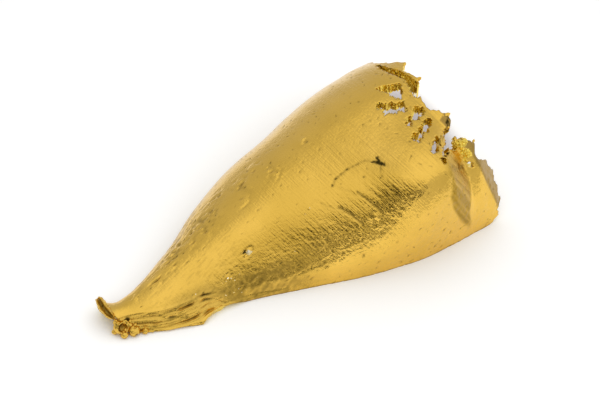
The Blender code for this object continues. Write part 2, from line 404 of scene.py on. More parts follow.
# the fine crack and the long scratches, seen from above, and how deep each is
GROOVES = (
    (0.035, ((15.55, -2.9), (15.9, -2.68), (16.4, -2.7), (17.05, -2.72), (17.6, -2.91), (18.1, -3.04),
             (18.4, -3.46), (18.6, -3.83))),
    (0.028, ((18.75, -3.95), (18.68, -4.16), (18.5, -4.43), (18.2, -4.79))),
    (0.050, ((16.62, -4.32), (17.37, -5.98))),
    (0.060, ((15.22, -4.08), (16.12, -5.57))),
    (0.012, ((15.9, -3.3), (16.5, -4.4))),
    (0.010, ((17.2, -4.6), (17.7, -5.6))),
    (0.010, ((14.4, -3.2), (15.3, -4.5))),
)
# dark knots on the crack, seen from above, and their radius
KNOTS = ((15.58, -2.88, 0.05), (16.02, -2.70, 0.07), (16.45, -2.70, 0.06), (16.95, -2.72, 0.07),
         (17.35, -2.82, 0.04), (17.75, -2.95, 0.05), (18.62, -3.85, 0.05), (18.2, -4.8, 0.04))
# single pits: along, round, radius, depth
PITS = (
    (20.49, -0.06, 0.09, 0.05), (20.91, -0.165, 0.07, 0.04), (24.14, 0.20, 0.10, 0.04),
    (24.35, 0.165, 0.08, 0.04), (24.0, 0.225, 0.07, 0.04), (24.68, 0.05, 0.09, 0.05),
    (24.9, 0.03, 0.08, 0.05), (14.5, -0.79, 0.12, 0.06), (15.7, -0.83, 0.11, 0.06),
    (21.5, -0.83, 0.12, 0.07), (20.8, -0.93, 0.13, 0.05), (22.1, -0.88, 0.10, 0.06),
    (17.9, -0.78, 0.09, 0.05), (19.1, -0.86, 0.08, 0.05), (13.3, -0.86, 0.11, 0.06),
    (12.2, -0.93, 0.12, 0.06), (18.7, -0.92, 0.10, 0.05), (16.6, -0.9, 0.08, 0.05),
)
# grains that stand up with a moat round them: along, round, radius, height
GRAINS = (
    (5.9, -0.23, 0.12, 0.03), (5.4, -0.42, 0.10, 0.03), (8.94, -0.516, 0.16, 0.10), (8.7, -0.53, 0.12, 0.06),
    (7.0, -0.66, 0.12, 0.05), (7.2, -0.69, 0.09, 0.05), (13.6, -0.42, 0.09, 0.05), (14.1, -0.38, 0.08, 0.04),
    (14.9, -0.3, 0.09, 0.03), (10.3, -0.22, 0.10, 0.03), (17.0, -0.6, 0.16, 0.06), (16.7, -0.62, 0.11, 0.05),
    (18.9, -0.53, 0.09, 0.04), (21.0, -0.49, 0.10, 0.04), (21.8, -0.47, 0.09, 0.04),
)
# dark stains: along, round, radius
STAINS = (
    (18.72, -0.305, 0.22), (18.50, -0.293, 0.13), (18.86, -0.330, 0.15), (18.85, -0.285, 0.12),
    (24.4, -0.385, 0.16), (24.75, -0.375, 0.12), (25.1, -0.34, 0.12), (24.3, -0.40, 0.10),
    (24.55, -0.36, 0.1), (24.79, -0.348, 0.2), (25.09, -0.321, 0.15), (24.29, -0.363, 0.12),
    (23.5, -0.375, 0.09), (8.72, -0.50, 0.16), (-0.05, -0.48, 0.22),
)


ARC_SHARE = 1.75  # length of half a section, in crest heights


def arc(x, turn):
    """Distance round the leaf from the crest, in millimetres, near enough for small marks."""
    return turn * between(3, x) * ARC_SHARE


def bump_at(x, round_by, place, reach):
    """Squared distance to a (along, round) place, in units of the reach."""
    at = arc(np.full(1, place[0]), np.full(1, place[1]))
    return ((x - place[0]) ** 2 + (round_by - at) ** 2) / reach**2


def scattered_pits(x, round_by, cell, seed, likely):
    """Depth from 0 to 1 of round pits, at most one to a cell."""
    flat = np.stack((x / cell, round_by / cell, np.zeros_like(x)), axis=-1)
    base = np.floor(flat).astype(np.int64)
    deepest = np.zeros(len(x))
    for dx in (-1, 0, 1):
        for dy in (-1, 0, 1):
            box = base + np.array((dx, dy, 0))
            centre = box[:, 0] + cell_hash(box, seed), box[:, 1] + cell_hash(box, seed + 1)
            reach = (0.045 + 0.05 * cell_hash(box, seed + 2) ** 2) / cell
            away = ((flat[:, 0] - centre[0]) ** 2 + (flat[:, 1] - centre[1]) ** 2) / reach**2
            there = cell_hash(box, seed + 3) < likely
            deepest = np.maximum(deepest, np.where(there, np.exp(-away), 0.0))
    return deepest


LINES_LEAN = 0.6  # how far along the leaf the growth lines run for each unit they go down
# the skin's textures: how wide a feature is along, round and up, a seed, and how much it counts
# (its height in millimetres, where it is part of the relief)
TEXTURES = {
    "waves": ((3.6, 3.6, 3.6), 21, 0.045),
    "ripples": ((0.8, 0.8, 0.8), 22, 0.010),
    "growth lines": ((0.17, 2.8, 1.0), 23, 0.0065),
    "veins": ((0.30, 0.20, 1.0), 24, 0.014),
    "pebbles": ((0.20, 0.18, 1.0), 25, 0.016),
    "lumps": ((0.45, 0.45, 1.0), 26, 0.010),
    "short lines": ((0.17, 0.55, 1.0), 27, 0.012),
    "wrinkles": ((1.3, 0.17, 1.0), 28, 0.085),
    "bulges": ((0.6, 0.4, 1.0), 29, 0.050),
    "dents": ((0.32, 0.24, 1.0), 30, 0.15),
    "wander": ((0.2, 0.2, 1.0), 32, 0.03),
    "stain edge": ((0.12, 0.12, 1.0), 33, 0.35),
    "breaks": ((0.16, 0.16, 1.0), 34, 0.45),
    "hem": ((0.5, 2.0, 1.0), 35, 0.4),
    "fine folds": ((0.8, 0.10, 1.0), 36, 0.032),
    "scales": ((0.30, 0.17, 1.0), 37, 0.026),
    "streaks": ((0.14, 2.2, 1.0), 38, 0.35),
}
# stretches along the leaf over which a mark comes in or dies out
LINES_IN = (12.0, 19.0)
BELT_IN, BELT_OUT = (4.5, 8.0), (18.0, 21.5)
WALL_IN = (6.0, 9.0)
ABOVE_IN, ABOVE_OUT = (5.0, 8.0), (17.5, 20.0)  # the short lines over the belt
LOW_IN, LOW_OUT = (5.8, 7.5), (10.0, 13.5)  # the belt's lower part, which runs down to the near edge
# where the belt's grime and painted dark reflection die out
BELT_DARKENING_OUT = (13.0, 16.0)
TAIL_OUT, HEM_OUT = (5.8, 8.2), (9.0, 12.0)
SCALES_IN, SCALES_OUT = (0.5, 2.5), (7.5, 10.5)
TOP_DARKENING_IN = (2.0, 4.0)  # where the skin darkens above the tail's fold
# the same round the section
SWELLINGS_IN = (-1.0, -0.86)
LINES_ROUND_IN, LINES_ROUND_OUT = (-0.95, -0.5), (0.2, 0.5)
FAR_SCALES_IN, FAR_PITS_IN = (0.0, 0.35), (-0.1, 0.15)
CREASE_IN, CREASE_TOP = (-0.97, -0.90), -0.57
GROOVES_ABOVE = -0.66
BELT_WIDTH = 0.085  # of the belt where the near side bends over, as a place round the section
WALL_PEBBLES = 0.015  # height of the pebbles on the wall below the belt
HEM_AT, HEM_WIDTH, HEM_HEIGHT = -0.975, 0.018, 0.10
RIDGE_HEIGHT, RIDGE_WIDTH, UNDER_RIDGE, UNDER_REACH = 0.05, 0.10, 0.07, 0.5
CREASE_WIDTH, GROOVE_WIDTH = 0.07, 0.06  # of the painted shade in the flap's crease, and of a groove
PIT_DEPTH = 0.040
BIG_PITS, SMALL_PITS = (1.05, 50, 0.6), (0.5, 60, 0.30)  # size of a cell with one pit, seed, share with one
# how much each darkens the skin: grime and a painted dark reflection low down and on the belt; painted shade
# in the folds, scales, dents, crease and pits; plain darkening over the wrinkled tail and above its fold
LOW_SOIL_AND_DARK_REFLECTION, BELT_SOIL_AND_DARK_REFLECTION, WRINKLE_DARKENING, FOLD_SHADE, SCALE_SHADE, TOP_DARKENING = 0.40, 0.16, 0.17, 1.1, 0.65, 0.34
DENT_SHADE, CREASE_SHADE, PIT_SHADE, WALL_PIT_SHADE = 0.8, 0.45, 0.8, 0.4


def texture(name, points):
    """One of the skin's textures, from -1 to 1."""
    size, seed, _ = TEXTURES[name]
    return smooth_noise(points, size, seed)


def creased(name, points):
    """The same texture with sharp crests at 1."""
    return 1 - 2 * np.abs(texture(name, points))


def counts(name):
    """How much a texture counts."""
    return TEXTURES[name][2]


def hill(value, middle, width):
    """A rounded hill, 1 at the middle."""
    return np.exp(-(((value - middle) / width) ** 2))


def dies_out(stretch, value):
    """1 before the stretch, 0 past it."""
    return 1 - soft_step(*stretch, value)


class Skin:
    """Places on the outer skin, and the height, the stains, grime and painted shade, and the roughness laid
    on them so far.
    """

    def __init__(self, x, turn, base):
        self.x, self.turn, self.base = x, turn, base
        level = np.zeros_like(x)
        self.round_by = arc(x, turn)
        self.flat = np.stack((x, self.round_by, level), axis=-1)
        self.leaning = np.stack((x + LINES_LEAN * base[:, 2], self.round_by, level), axis=-1)
        self.height, self.soil, self.rough = level.copy(), level.copy(), level.copy()
        # the belt where the near side bends over, and the wall below it
        self.off_bend = (turn - read(BEND, x)) / BELT_WIDTH
        self.belt = hill(self.off_bend, -0.35, 1.0) * soft_step(*BELT_IN, x)
        self.belt *= 1 - 0.85 * soft_step(*BELT_OUT, x)
        self.below = soft_step(0.0, 1.5, -self.off_bend) * soft_step(*WALL_IN, x)

    def near(self, along, around, reach, reach_round):
        """A rounded patch round one place, 1 in its middle."""
        return hill(self.x, along, reach) * hill(self.turn, around, reach_round)


def lay_growth(skin):
    """Broad waves and swellings, and growth lines across the leaf, strongest by the mouth."""
    x, turn = skin.x, skin.turn
    waves, ripples = texture("waves", skin.base), texture("ripples", skin.base)
    skin.height += counts("waves") * waves + counts("ripples") * ripples
    for along, around, reach, reach_round, high in SWELLINGS:
        swelling = high * skin.near(along, around, reach, reach_round)
        skin.height += swelling * soft_step(*SWELLINGS_IN, turn)
    lines = soft_step(*LINES_IN, x) * soft_step(*LINES_ROUND_IN, turn) * dies_out(LINES_ROUND_OUT, turn)
    skin.height += counts("growth lines") * lines * texture("growth lines", skin.leaning)


def lay_belt(skin):
    """The rough belt where the near side bends over, darkened with grime and a painted dark reflection, and
    the pebbled wall below it.
    """
    x, off_bend = skin.x, skin.off_bend
    pebbles, lumps = texture("pebbles", skin.flat), texture("lumps", skin.flat)
    above = hill(off_bend, 1.2, 1.1) * soft_step(*ABOVE_IN, x) * dies_out(ABOVE_OUT, x)
    veins = counts("veins") * creased("veins", skin.flat)
    skin.height += skin.belt * (veins + counts("pebbles") * pebbles)
    skin.height += skin.below * (WALL_PEBBLES * pebbles + counts("lumps") * lumps)
    skin.height += above * counts("short lines") * texture("short lines", skin.leaning)
    skin.rough += np.clip(0.6 * skin.belt + 0.35 * above + 0.45 * skin.below, 0.0, 1.0)
    # grime mixed with a painted dark reflection, from the belt down to the near edge
    dark = LOW_SOIL_AND_DARK_REFLECTION * soft_step(-0.4, 1.0, -off_bend) * soft_step(*LOW_IN, x) * dies_out(LOW_OUT, x)
    dark += BELT_SOIL_AND_DARK_REFLECTION * skin.belt * dies_out(BELT_DARKENING_OUT, x)
    skin.soil += dark * np.clip(0.85 + 0.6 * pebbles, 0.0, 1.5)


def lay_tail(skin):
    """The fold and the wrinkles of the tail with painted shade in the troughs of its folds, the hem of its
    near edge, and its scaly skin with painted shade between the scales.
    """
    x, turn = skin.x, skin.turn
    off_ridge = (turn - read(RIDGE, x)) * between(3, x) * ARC_SHARE
    tail = dies_out(TAIL_OUT, x)
    wrinkled = tail * soft_step(-0.05, 0.12, -off_ridge)
    grain = np.stack((x, off_ridge, np.zeros_like(x)), axis=-1)
    wrinkles, fine_folds = creased("wrinkles", grain), creased("fine folds", grain)
    folded = counts("wrinkles") * wrinkles + counts("fine folds") * fine_folds
    skin.height += wrinkled * (folded + counts("bulges") * texture("bulges", grain))
    hem = hill(turn, HEM_AT, HEM_WIDTH) * dies_out(HEM_OUT, x)
    skin.height += HEM_HEIGHT * hem * (1 + counts("hem") * texture("hem", skin.flat))
    ridge = RIDGE_HEIGHT * hill(off_ridge, 0.0, RIDGE_WIDTH)
    skin.height += tail * (ridge - UNDER_RIDGE * wrinkled * np.exp(off_ridge / UNDER_REACH))
    # the wrinkled tail is darker all over, with painted shade in the troughs of its folds
    folds = np.clip(-wrinkles - 0.2, 0.0, 1.0) + 0.5 * np.clip(-fine_folds - 0.3, 0.0, 1.0)
    skin.soil += wrinkled * (WRINKLE_DARKENING + FOLD_SHADE * folds) * (1 - hem)
    skin.rough = np.clip(skin.rough + 0.3 * wrinkled, 0.0, 1.0) * (1 - hem)
    # scaly, most of all down the far side
    scaly = soft_step(*SCALES_IN, x) * dies_out(SCALES_OUT, x) * (1 - wrinkled)
    scaly *= 0.35 + 0.65 * soft_step(*FAR_SCALES_IN, turn)
    scales = texture("scales", skin.flat)
    skin.height += counts("scales") * scaly * scales
    # painted shade in the troughs between the scales
    skin.soil += SCALE_SHADE * scaly * np.clip(-scales - 0.15, 0.0, 1.0)
    # darker over the top of the tail, above its fold
    on_top = soft_step(*TOP_DARKENING_IN, x) * hill(off_ridge, 0.18, 0.42)
    skin.soil += TOP_DARKENING * tail * on_top * (0.8 + 0.6 * scales)


def lay_hammering(skin):
    """The patches with a hammered look, with painted shade in the deepest dents."""
    dents = np.clip(texture("dents", skin.flat), -1.0, 0.25)
    for place in HAMMERED:
        patch = skin.near(*place)
        skin.height += counts("dents") * patch * dents
        # painted shade in the deepest dents
        skin.soil += DENT_SHADE * patch * np.clip(-dents - 0.2, 0.0, 1.0)
        skin.rough += 0.9 * patch


def lay_cracks(skin):
    """Painted shade in the flap's crease, the scratches and the fine crack with painted shade along them, and
    the crack's dark knots.
    """
    along, across = skin.base[:, 0], skin.base[:, 1]
    crease = skin.x - (FLAP_FROM - FLAP_LEAN * skin.base[:, 2])
    in_crease = (skin.turn < CREASE_TOP) * soft_step(*CREASE_IN, skin.turn)
    # painted shade in the flap's crease
    skin.soil += CREASE_SHADE * hill(crease, 0.0, CREASE_WIDTH) * in_crease
    on_top = skin.turn > GROOVES_ABOVE
    wander = counts("wander") * texture("wander", skin.flat)
    broken = 0.65 + counts("breaks") * texture("breaks", skin.flat)
    for depth, line in GROOVES:
        groove = np.where(on_top, hill(near_line(along + wander, across, line), 0.0, GROOVE_WIDTH), 0.0)
        skin.height -= depth * groove
        # painted shade along each groove, more for deeper ones, in broken stretches
        skin.soil += np.clip(depth * 18, 0.0, 0.75) * groove * broken
    for knot_x, knot_y, reach in KNOTS:
        knot = hill(along, knot_x, reach) * hill(across, knot_y, reach) * on_top
        skin.soil += knot
        skin.height -= 0.03 * knot


def lay_pits(skin):
    """Scattered pits and single pits with their rims, all with painted shade inside, and the grains with
    their moats.
    """
    x, round_by = skin.x, skin.round_by
    often = 0.35 + skin.below + 0.6 * skin.belt + 0.6 * soft_step(*FAR_PITS_IN, skin.turn)
    pits = scattered_pits(x, round_by, *BIG_PITS) + 0.8 * scattered_pits(x, round_by, *SMALL_PITS) * often
    skin.height -= PIT_DEPTH * pits
    # painted shade in the scattered pits, less on the wall below the belt
    skin.soil += (PIT_SHADE - WALL_PIT_SHADE * skin.below) * np.clip(pits, 0.0, 1.0) ** 2 * (x > 1.0)
    for along, around, reach, depth in PITS:
        away = bump_at(x, round_by, (along, around), reach)
        skin.height += depth * (0.45 * np.exp(-((np.sqrt(away) - 1.7) ** 2) * 3) - np.exp(-away))
        # painted shade in each single pit
        skin.soil += 0.6 * np.exp(-away * 1.8)
    for along, around, reach, high in GRAINS:
        away = bump_at(x, round_by, (along, around), reach)
        skin.height += high * (np.exp(-away) - 0.45 * np.exp(-((np.sqrt(away) - 1.8) ** 2) * 2.5))


def lay_stains(skin):
    """Dark stains with uneven edges."""
    uneven = counts("stain edge") * texture("stain edge", skin.flat)
    for along, around, reach in STAINS:
        edge = np.sqrt(bump_at(skin.x, skin.round_by, (along, around), reach)) + uneven
        skin.soil += 1 - soft_step(0.7, 1.15, edge)
        skin.height -= 0.03 * (1 - soft_step(0.6, 1.2, edge))


def outer_relief(x, turn, base):
    """Height of the outer skin over the smooth surface, in millimetres, its darkening from stains, grime and
    painted shade, and its roughness.
    """
    skin = Skin(x, turn, base)
    for lay in (lay_growth, lay_belt, lay_tail, lay_hammering, lay_cracks, lay_pits, lay_stains):
        lay(skin)
    return skin.height, np.clip(skin.soil, 0.0, 1.0), np.clip(skin.rough, 0.0, 1.0)


# the wedge of painted shade in the dent: round, and where it starts and ends along
WEDGE_FROM = np.array((
    (-0.91, 23.6), (-0.84, 22.95), (-0.70, 22.1), (-0.63, 21.85), (-0.57, 22.05), (-0.44, 22.1),
))
WEDGE_TO = np.array((
    (-0.90, 24.0), (-0.80, 23.85), (-0.74, 24.1), (-0.67, 24.25), (-0.60, 24.2), (-0.44, 23.2),
))
WEDGE_FOOT, WEDGE_TOP, WEDGE_TOP_OUT = (-0.96, -0.86), -0.47, (-0.06, 0.04)
ROUND_BY = 8  # about how far it is round the section there for each unit of turn, in millimetres


def skins(x, turn, z):
    """Where the skin has a painted pale sheen (far side), painted shade (flap) and the darkest painted shade
    (the wedge in the dent), 0 to 1.
    """
    # a painted pale sheen on the far side, past the crest
    pale = soft_step(0.0, 0.5, turn)
    # painted shade on the flap past its crease
    past_crease = soft_step(-0.05, 0.06, x - (FLAP_FROM - FLAP_LEAN * z)) * (turn < -0.3)
    # the wedge of the darkest painted shade in the dent, streaked
    edge = 0.06 + 0.22 * soft_step(-0.66, -0.50, turn)
    wedge = soft_step(-edge, edge + 0.10, x - read(WEDGE_FROM, turn))
    wedge *= 1 - soft_step(-edge - 0.04, edge, x - read(WEDGE_TO, turn))
    wedge *= soft_step(*WEDGE_FOOT, turn) * dies_out(WEDGE_TOP_OUT, turn - WEDGE_TOP)
    leaning = np.stack((x + LINES_LEAN * z, ROUND_BY * turn, np.zeros_like(x)), axis=-1)
    streaks = 0.88 + counts("streaks") * texture("streaks", leaning)
    return pale, past_crease, np.clip(wedge * streaks, 0.0, 1.0)


SLIT_AT, SLIT_REACH, SLIT_DEPTH = (25.25, 0.06), (0.5, 0.15), 0.7  # the sheet is thicker round the slit
EDGE_DEPTH, EDGE_REACH, EDGE_ROUND = 0.3, 0.3, -0.35  # and by the holes past this place round the section
FACET_HEIGHT, FACET_SIZE, FACET_SEED = 0.10, 0.35, 41  # the crystal faces of its inside
TORN_FROM, TORN_WITHIN = 15.0, 0.99  # edges past this along the leaf, and within this round it, are torn


def lay_out(bm, along, around):
    """Spread a grid of vertices over the leaf, from the tail's end to the torn rim, less the holes."""
    bmesh.ops.create_grid(bm, x_segments=COLUMNS, y_segments=ROWS, size=1.0)
    verts = list(bm.verts)
    share = column_place((np.array([v.co.x for v in verts]) + 1) / 2)
    turn = row_place((np.array([v.co.y for v in verts]) + 1) / 2)
    start = read(TAIL_END, turn)
    rim = read(RIM, turn) + rim_teeth(turn, 31)
    for vert, x_value, turn_value in zip(verts, start + share * (rim - start), turn):
        vert[along] = x_value
        vert[around] = turn_value
    tear_holes(bm, along, around)


def sheet_mesh(shape):
    """The whole curled sheet, its outer skin with relief and its inside rough."""
    bm = bmesh.new()
    # the skin's layers carry its grime and painted shade, a painted pale sheen, and painted shade on the flap
    # and in the wedge
    along, around, torn, *layers = [
        bm.verts.layers.float.new(name)
        for name in ("along", "around", "torn", "soil", "grainy", "pale", "flap_shade", "tan")
    ]
    lay_out(bm, along, around)
    for vert in bm.verts:
        by_mouth = abs(vert[around]) < TORN_WITHIN and vert[along] > TORN_FROM
        if by_mouth and any(e.is_boundary for e in vert.link_edges):
            vert[torn] = 1.0
    skin = set(bm.verts)
    bmesh.ops.solidify(bm, geom=list(bm.faces), thickness=shape.wall)
    verts = list(bm.verts)
    x = np.array([v[along] for v in verts])
    turn = np.array([v[around] for v in verts])
    is_outer = np.array([v in skin for v in verts])
    base = surface(x, turn)
    height, soil_and_shade_share, rough_skin = outer_relief(x, turn, base)
    by_hole = np.exp(-np.clip(metal_left(x, turn), 0.0, None) / EDGE_REACH) * (turn > EDGE_ROUND)
    by_slit = hill(x, SLIT_AT[0], SLIT_REACH[0]) * hill(turn, SLIT_AT[1], SLIT_REACH[1])
    inside = -shape.wall / MM - SLIT_DEPTH * by_slit - EDGE_DEPTH * by_hole
    inside += FACET_HEIGHT * facets(base, FACET_SIZE, FACET_SEED)
    place = base + surface_normal(x, turn) * np.where(is_outer, height, inside)[:, None]
    place[:, 2] = np.maximum(place[:, 2], 0.0)
    values = np.stack((soil_and_shade_share, rough_skin) + skins(x, turn, base[:, 2]), axis=-1) * is_outer[:, None]
    for vert, co, row in zip(verts, to_frame(place), values):
        vert.co = co
        for layer, value in zip(layers, row):
            vert[layer] = value
        if vert not in skin:
            vert[torn] = 0.0
    for face in bm.faces:
        on_skin = all(v in skin for v in face.verts)
        face.smooth = on_skin
        face.material_index = 0 if on_skin else 1
    return finish_mesh("gold_sheet", bm)


# ---- Crystals on the torn edges ----


def turned(rng):
    """A random turn."""
    return Euler(rng.uniform(0.0, 2 * math.pi, 3)).to_matrix().to_4x4()


def add_crystal(bm, rng, centre, size):
    """One small blocky or eight-sided crystal, centre and size in millimetres."""
    shape = Matrix.Diagonal((*(rng.uniform(0.7, 1.25, 3) * size * MM), 1.0))
    matrix = Matrix.Translation(Vector(to_frame(centre))) @ turned(rng) @ shape
    if rng.random() < 0.55:
        made = bmesh.ops.create_cube(bm, size=1.0, matrix=matrix)["verts"]
        return [e for v in made for e in v.link_edges]
    bmesh.ops.create_uvsphere(bm, u_segments=4, v_segments=2, radius=0.72, matrix=matrix)
    return []


def grow(crystals):
    """One mesh of many crystals: (random source, centre, size) for each, made a few at a time."""
    whole = bmesh.new()
    for first in range(0, len(crystals), BATCH):
        bm = bmesh.new()
        sharp = set()
        for rng, centre, size in crystals[first:first + BATCH]:
            sharp.update(add_crystal(bm, rng, centre, size))
        bmesh.ops.bevel(
            bm, geom=list(sharp), affect="EDGES", offset_type="PERCENT", offset=14, segments=1, profile=0.5,
            material=-1,
        )
        few = bpy.data.meshes.new("few")
        bm.to_mesh(few)
        bm.free()
        whole.from_mesh(few)
        bpy.data.meshes.remove(few)
    return whole


CRYSTAL_SIDE = (0.6, 0.8)  # the way into the metal from a hole, where the crystals are thickest
# share of the places that have crystals, and how many there: on the rim, on that side, elsewhere
ON_RIM, ON_THAT_SIDE, ELSEWHERE = (0.35, 1), (1.0, 4), (0.12, 1)
EDGE_SIZES, CLUSTER_SIZES = (0.06, 0.125), (0.12, 0.26)
BATCH = 40  # crystals made at a time
STEP_ALONG, STEP_ROUND = 0.05, 0.006


def crystals_mesh(sheet):
    """Crystals all along the sheet's torn edges, on the wall of the sheet."""
    columns = []
    for name in ("along", "around", "torn"):
        values = np.empty(len(sheet.vertices), dtype=np.float32)
        sheet.attributes[name].data.foreach_get("value", values)
        columns.append(values.astype(float))
    x, turn, torn = columns
    chosen = (torn > 0.5) & (turn > -0.6)
    x, turn = x[chosen], turn[chosen]
    base, normal = surface(x, turn), surface_normal(x, turn)
    # which way the metal lies from each torn edge
    here = metal_left(x, turn)
    into = np.zeros_like(base)
    for step_x, step_turn in ((STEP_ALONG, 0.0), (0.0, STEP_ROUND)):
        next_x, next_turn = x + step_x, turn + step_turn
        into += (metal_left(next_x, next_turn) - here)[:, None] * (surface(next_x, next_turn) - base)
    into /= np.linalg.norm(into, axis=-1, keepdims=True) + 1e-9
    at_rim = here > 0.3
    into[at_rim] = (-1.0, 0.0, 0.0)
    faces_front = into[:, :2] @ np.array(CRYSTAL_SIDE) > 0.3
    rng = np.random.default_rng(5)
    crystals = []
    for place, out, inward, here_turn, rim, front in zip(base, normal, into, turn, at_rim, faces_front):
        share, count = ON_RIM if rim else ON_THAT_SIDE if front else ELSEWHERE
        if rng.random() > share or here_turn > 0.5:
            continue
        for _ in range(count):
            size = rng.uniform(*EDGE_SIZES)
            below = rng.uniform(0.02 + 0.5 * size, 0.62 if front else 0.35)
            centre = place - out * below + inward * rng.uniform(0.0, 0.08) + rng.normal(0.0, 0.02, 3)
            centre[2] = max(centre[2], 0.2)
            crystals.append((rng, centre, size))
    return finish_mesh("edge_crystals", grow(crystals))


# the mass of crystals in the dent by the mouth: along, round, radius of each lump
CLUSTER = (
    (24.45, -0.455, 0.28), (24.7, -0.47, 0.40), (24.62, -0.505, 0.40), (24.9, -0.475, 0.34),
    (24.8, -0.525, 0.38), (24.5, -0.54, 0.30), (24.3, -0.50, 0.20),
)
LUMP_CRYSTALS = 30
PLUG_AT, PLUG_RADIUS = (24.94, -6.17, 4.55), 0.42  # a lump deep in the last hole


def cluster_mesh():
    """A mass of grown-together crystals."""
    rng = np.random.default_rng(8)
    crystals, balls = [], []
    for along, around, radius in CLUSTER:
        x, turn = np.array([along]), np.array([around])
        middle, out = surface(x, turn)[0], surface_normal(x, turn)[0]
        middle = middle - out * radius * 0.25
        balls.append((middle, radius * 0.9))
        for _ in range(LUMP_CRYSTALS):
            way = rng.normal(0.0, 1.0, 3)
            way = way / np.linalg.norm(way) + out * 0.5
            way /= np.linalg.norm(way)
            size = rng.uniform(*CLUSTER_SIZES)
            crystals.append((rng, middle + way * (radius - 0.35 * size), size))
    balls.append((np.array(PLUG_AT), PLUG_RADIUS))
    bm = grow(crystals)
    for middle, radius in balls:
        matrix = Matrix.Translation(Vector(to_frame(middle)))
        bmesh.ops.create_icosphere(bm, subdivisions=2, radius=radius * MM, matrix=matrix)
    return finish_mesh("crystal_cluster", bm)


# ---- Knobs, prongs and bright grains ----

FRONT = np.array((-0.41, -0.545, 0.731))  # the way the furrow of the tail's lip faces


def rope(bm, path, radii, seed=1, rough=0.0, furrow=0.0, soil=None, rounds=24, rings=40):
    """A closed rod along a path in millimetres; radii (sideways, frontways) go with its points."""
    made = bmesh.ops.create_uvsphere(bm, u_segments=rounds, v_segments=rings, radius=1.0)["verts"]
    unit = np.array([tuple(v.co) for v in made])
    share = np.arccos(np.clip(-unit[:, 2], -1.0, 1.0)) / math.pi
    path, radii = np.asarray(path, dtype=float), np.asarray(radii, dtype=float)
    length = np.concatenate(((0.0,), np.cumsum(np.linalg.norm(np.diff(path, axis=0), axis=1))))
    length /= length[-1]

    def at(places):
        return np.stack([np.interp(places, length, path[:, k]) for k in range(3)], axis=-1)

    middle = (at(share - 0.05) + at(share) + at(share + 0.05)) / 3
    ahead = at(share + 0.08) - at(share - 0.08)
    ahead /= np.linalg.norm(ahead, axis=-1, keepdims=True)
    side = np.cross(ahead, FRONT)
    side /= np.linalg.norm(side, axis=-1, keepdims=True)
    front = np.cross(side, ahead)
    front *= np.sign(front @ FRONT)[:, None]
    angle = np.arctan2(unit[:, 1], unit[:, 0])
    cap = np.clip(np.hypot(unit[:, 0], unit[:, 1]) * 2.2, 0.0, 1.0)
    across = np.cos(angle) * np.interp(share, length, radii[:, 0]) * cap
    deep = np.sin(angle) * np.interp(share, length, radii[:, 1]) * cap
    valley = np.exp(-((np.cos(angle) / 0.36) ** 2)) * cap * (np.sin(angle) > 0)
    edges = np.exp(-(((np.abs(np.cos(angle)) - 0.66) / 0.2) ** 2)) * cap * (np.sin(angle) > 0)
    deep += furrow * (edges - 1.2 * valley)
    outward = side * across[:, None] + front * deep[:, None]
    place = middle + outward
    lengths = np.linalg.norm(outward, axis=-1, keepdims=True) + 1e-9
    place += rough * outward / lengths * (facets(place, 0.22, seed) * cap)[:, None]
    place[:, 2] = np.maximum(place[:, 2], 0.0)
    # painted shade down the furrow's valley
    for vert, co, low in zip(made, to_frame(place), valley):
        vert.co = co
        if soil:
            vert[soil] = 0.75 * low


def lump(bm, centre, radius, rough, seed):
    """A closed knob with crystal faces, in millimetres."""
    made = bmesh.ops.create_icosphere(bm, subdivisions=5, radius=1.0)["verts"]
    unit = np.array([tuple(v.co) for v in made])
    reach = radius * (1 + rough * facets(unit * radius, radius * 0.95, seed, 1.5))
    place = np.asarray(centre) + unit * reach[:, None]
    place[:, 2] = np.maximum(place[:, 2], 0.0)
    for vert, co in zip(made, to_frame(place)):
        vert.co = co


def cup(bm, soil, centre, radius, facing, opening, depth):
    """A ball pushed in from one side, with painted shade at the bottom of the hollow."""
    made = bmesh.ops.create_uvsphere(bm, u_segments=48, v_segments=36, radius=1.0)["verts"]
    unit = np.array([tuple(v.co) for v in made])
    polar = np.arccos(np.clip(unit[:, 2], -1.0, 1.0)) / math.radians(opening)
    hollow = np.clip(1 - polar**2, 0.0, 1.0)
    bulge = 1 + 0.10 * np.exp(-(((polar - 1.05) / 0.2) ** 2)) + 0.10 * facets(unit * radius, 0.3, 71)
    turn_to = Vector((0.0, 0.0, 1.0)).rotation_difference(Vector(facing)).to_matrix()
    for vert, way, deep, wide in zip(made, unit, hollow, bulge):
        local = Vector(way) * radius * wide - Vector((0.0, 0.0, depth * deep**0.6))
        place = np.asarray(centre) + np.array(turn_to @ local)
        place[2] = max(place[2], 0.0)
        vert.co = to_frame(place)
        vert[soil] = 0.5 * deep**0.5


# the rolled lip at the tail's end: place, and (sideways, frontways) radius there
LIP = (
    (-0.72, 1.92, 1.28), (-0.80, 1.50, 1.46), (-0.92, 0.85, 1.50), (-0.88, 0.2, 1.36), (-0.70, -0.32, 1.10),
)
LIP_RADII = ((0.13, 0.12), (0.27, 0.17), (0.33, 0.19), (0.29, 0.19), (0.17, 0.16))
NECK = ((-0.60, -0.30, 1.08), (-0.78, -0.28, 0.85), (-0.66, -0.50, 0.72))
NECK_RADII = ((0.16, 0.14), (0.13, 0.13), (0.18, 0.16))
BRIDGE = ((-0.45, -0.50, 0.98), (-0.15, -0.72, 0.86), (0.05, -0.95, 0.62), (0.10, -1.15, 0.42))
BRIDGE_RADII = ((0.12, 0.12), (0.15, 0.12), (0.14, 0.12), (0.14, 0.12))
CUP_AT, CUP_RADIUS, CUP_FACING = (-0.52, -0.56, 0.48), 0.52, (-0.05, -0.80, 0.50)
CUP_OPENING, CUP_DEPTH = 40, 0.42  # degrees, and millimetres
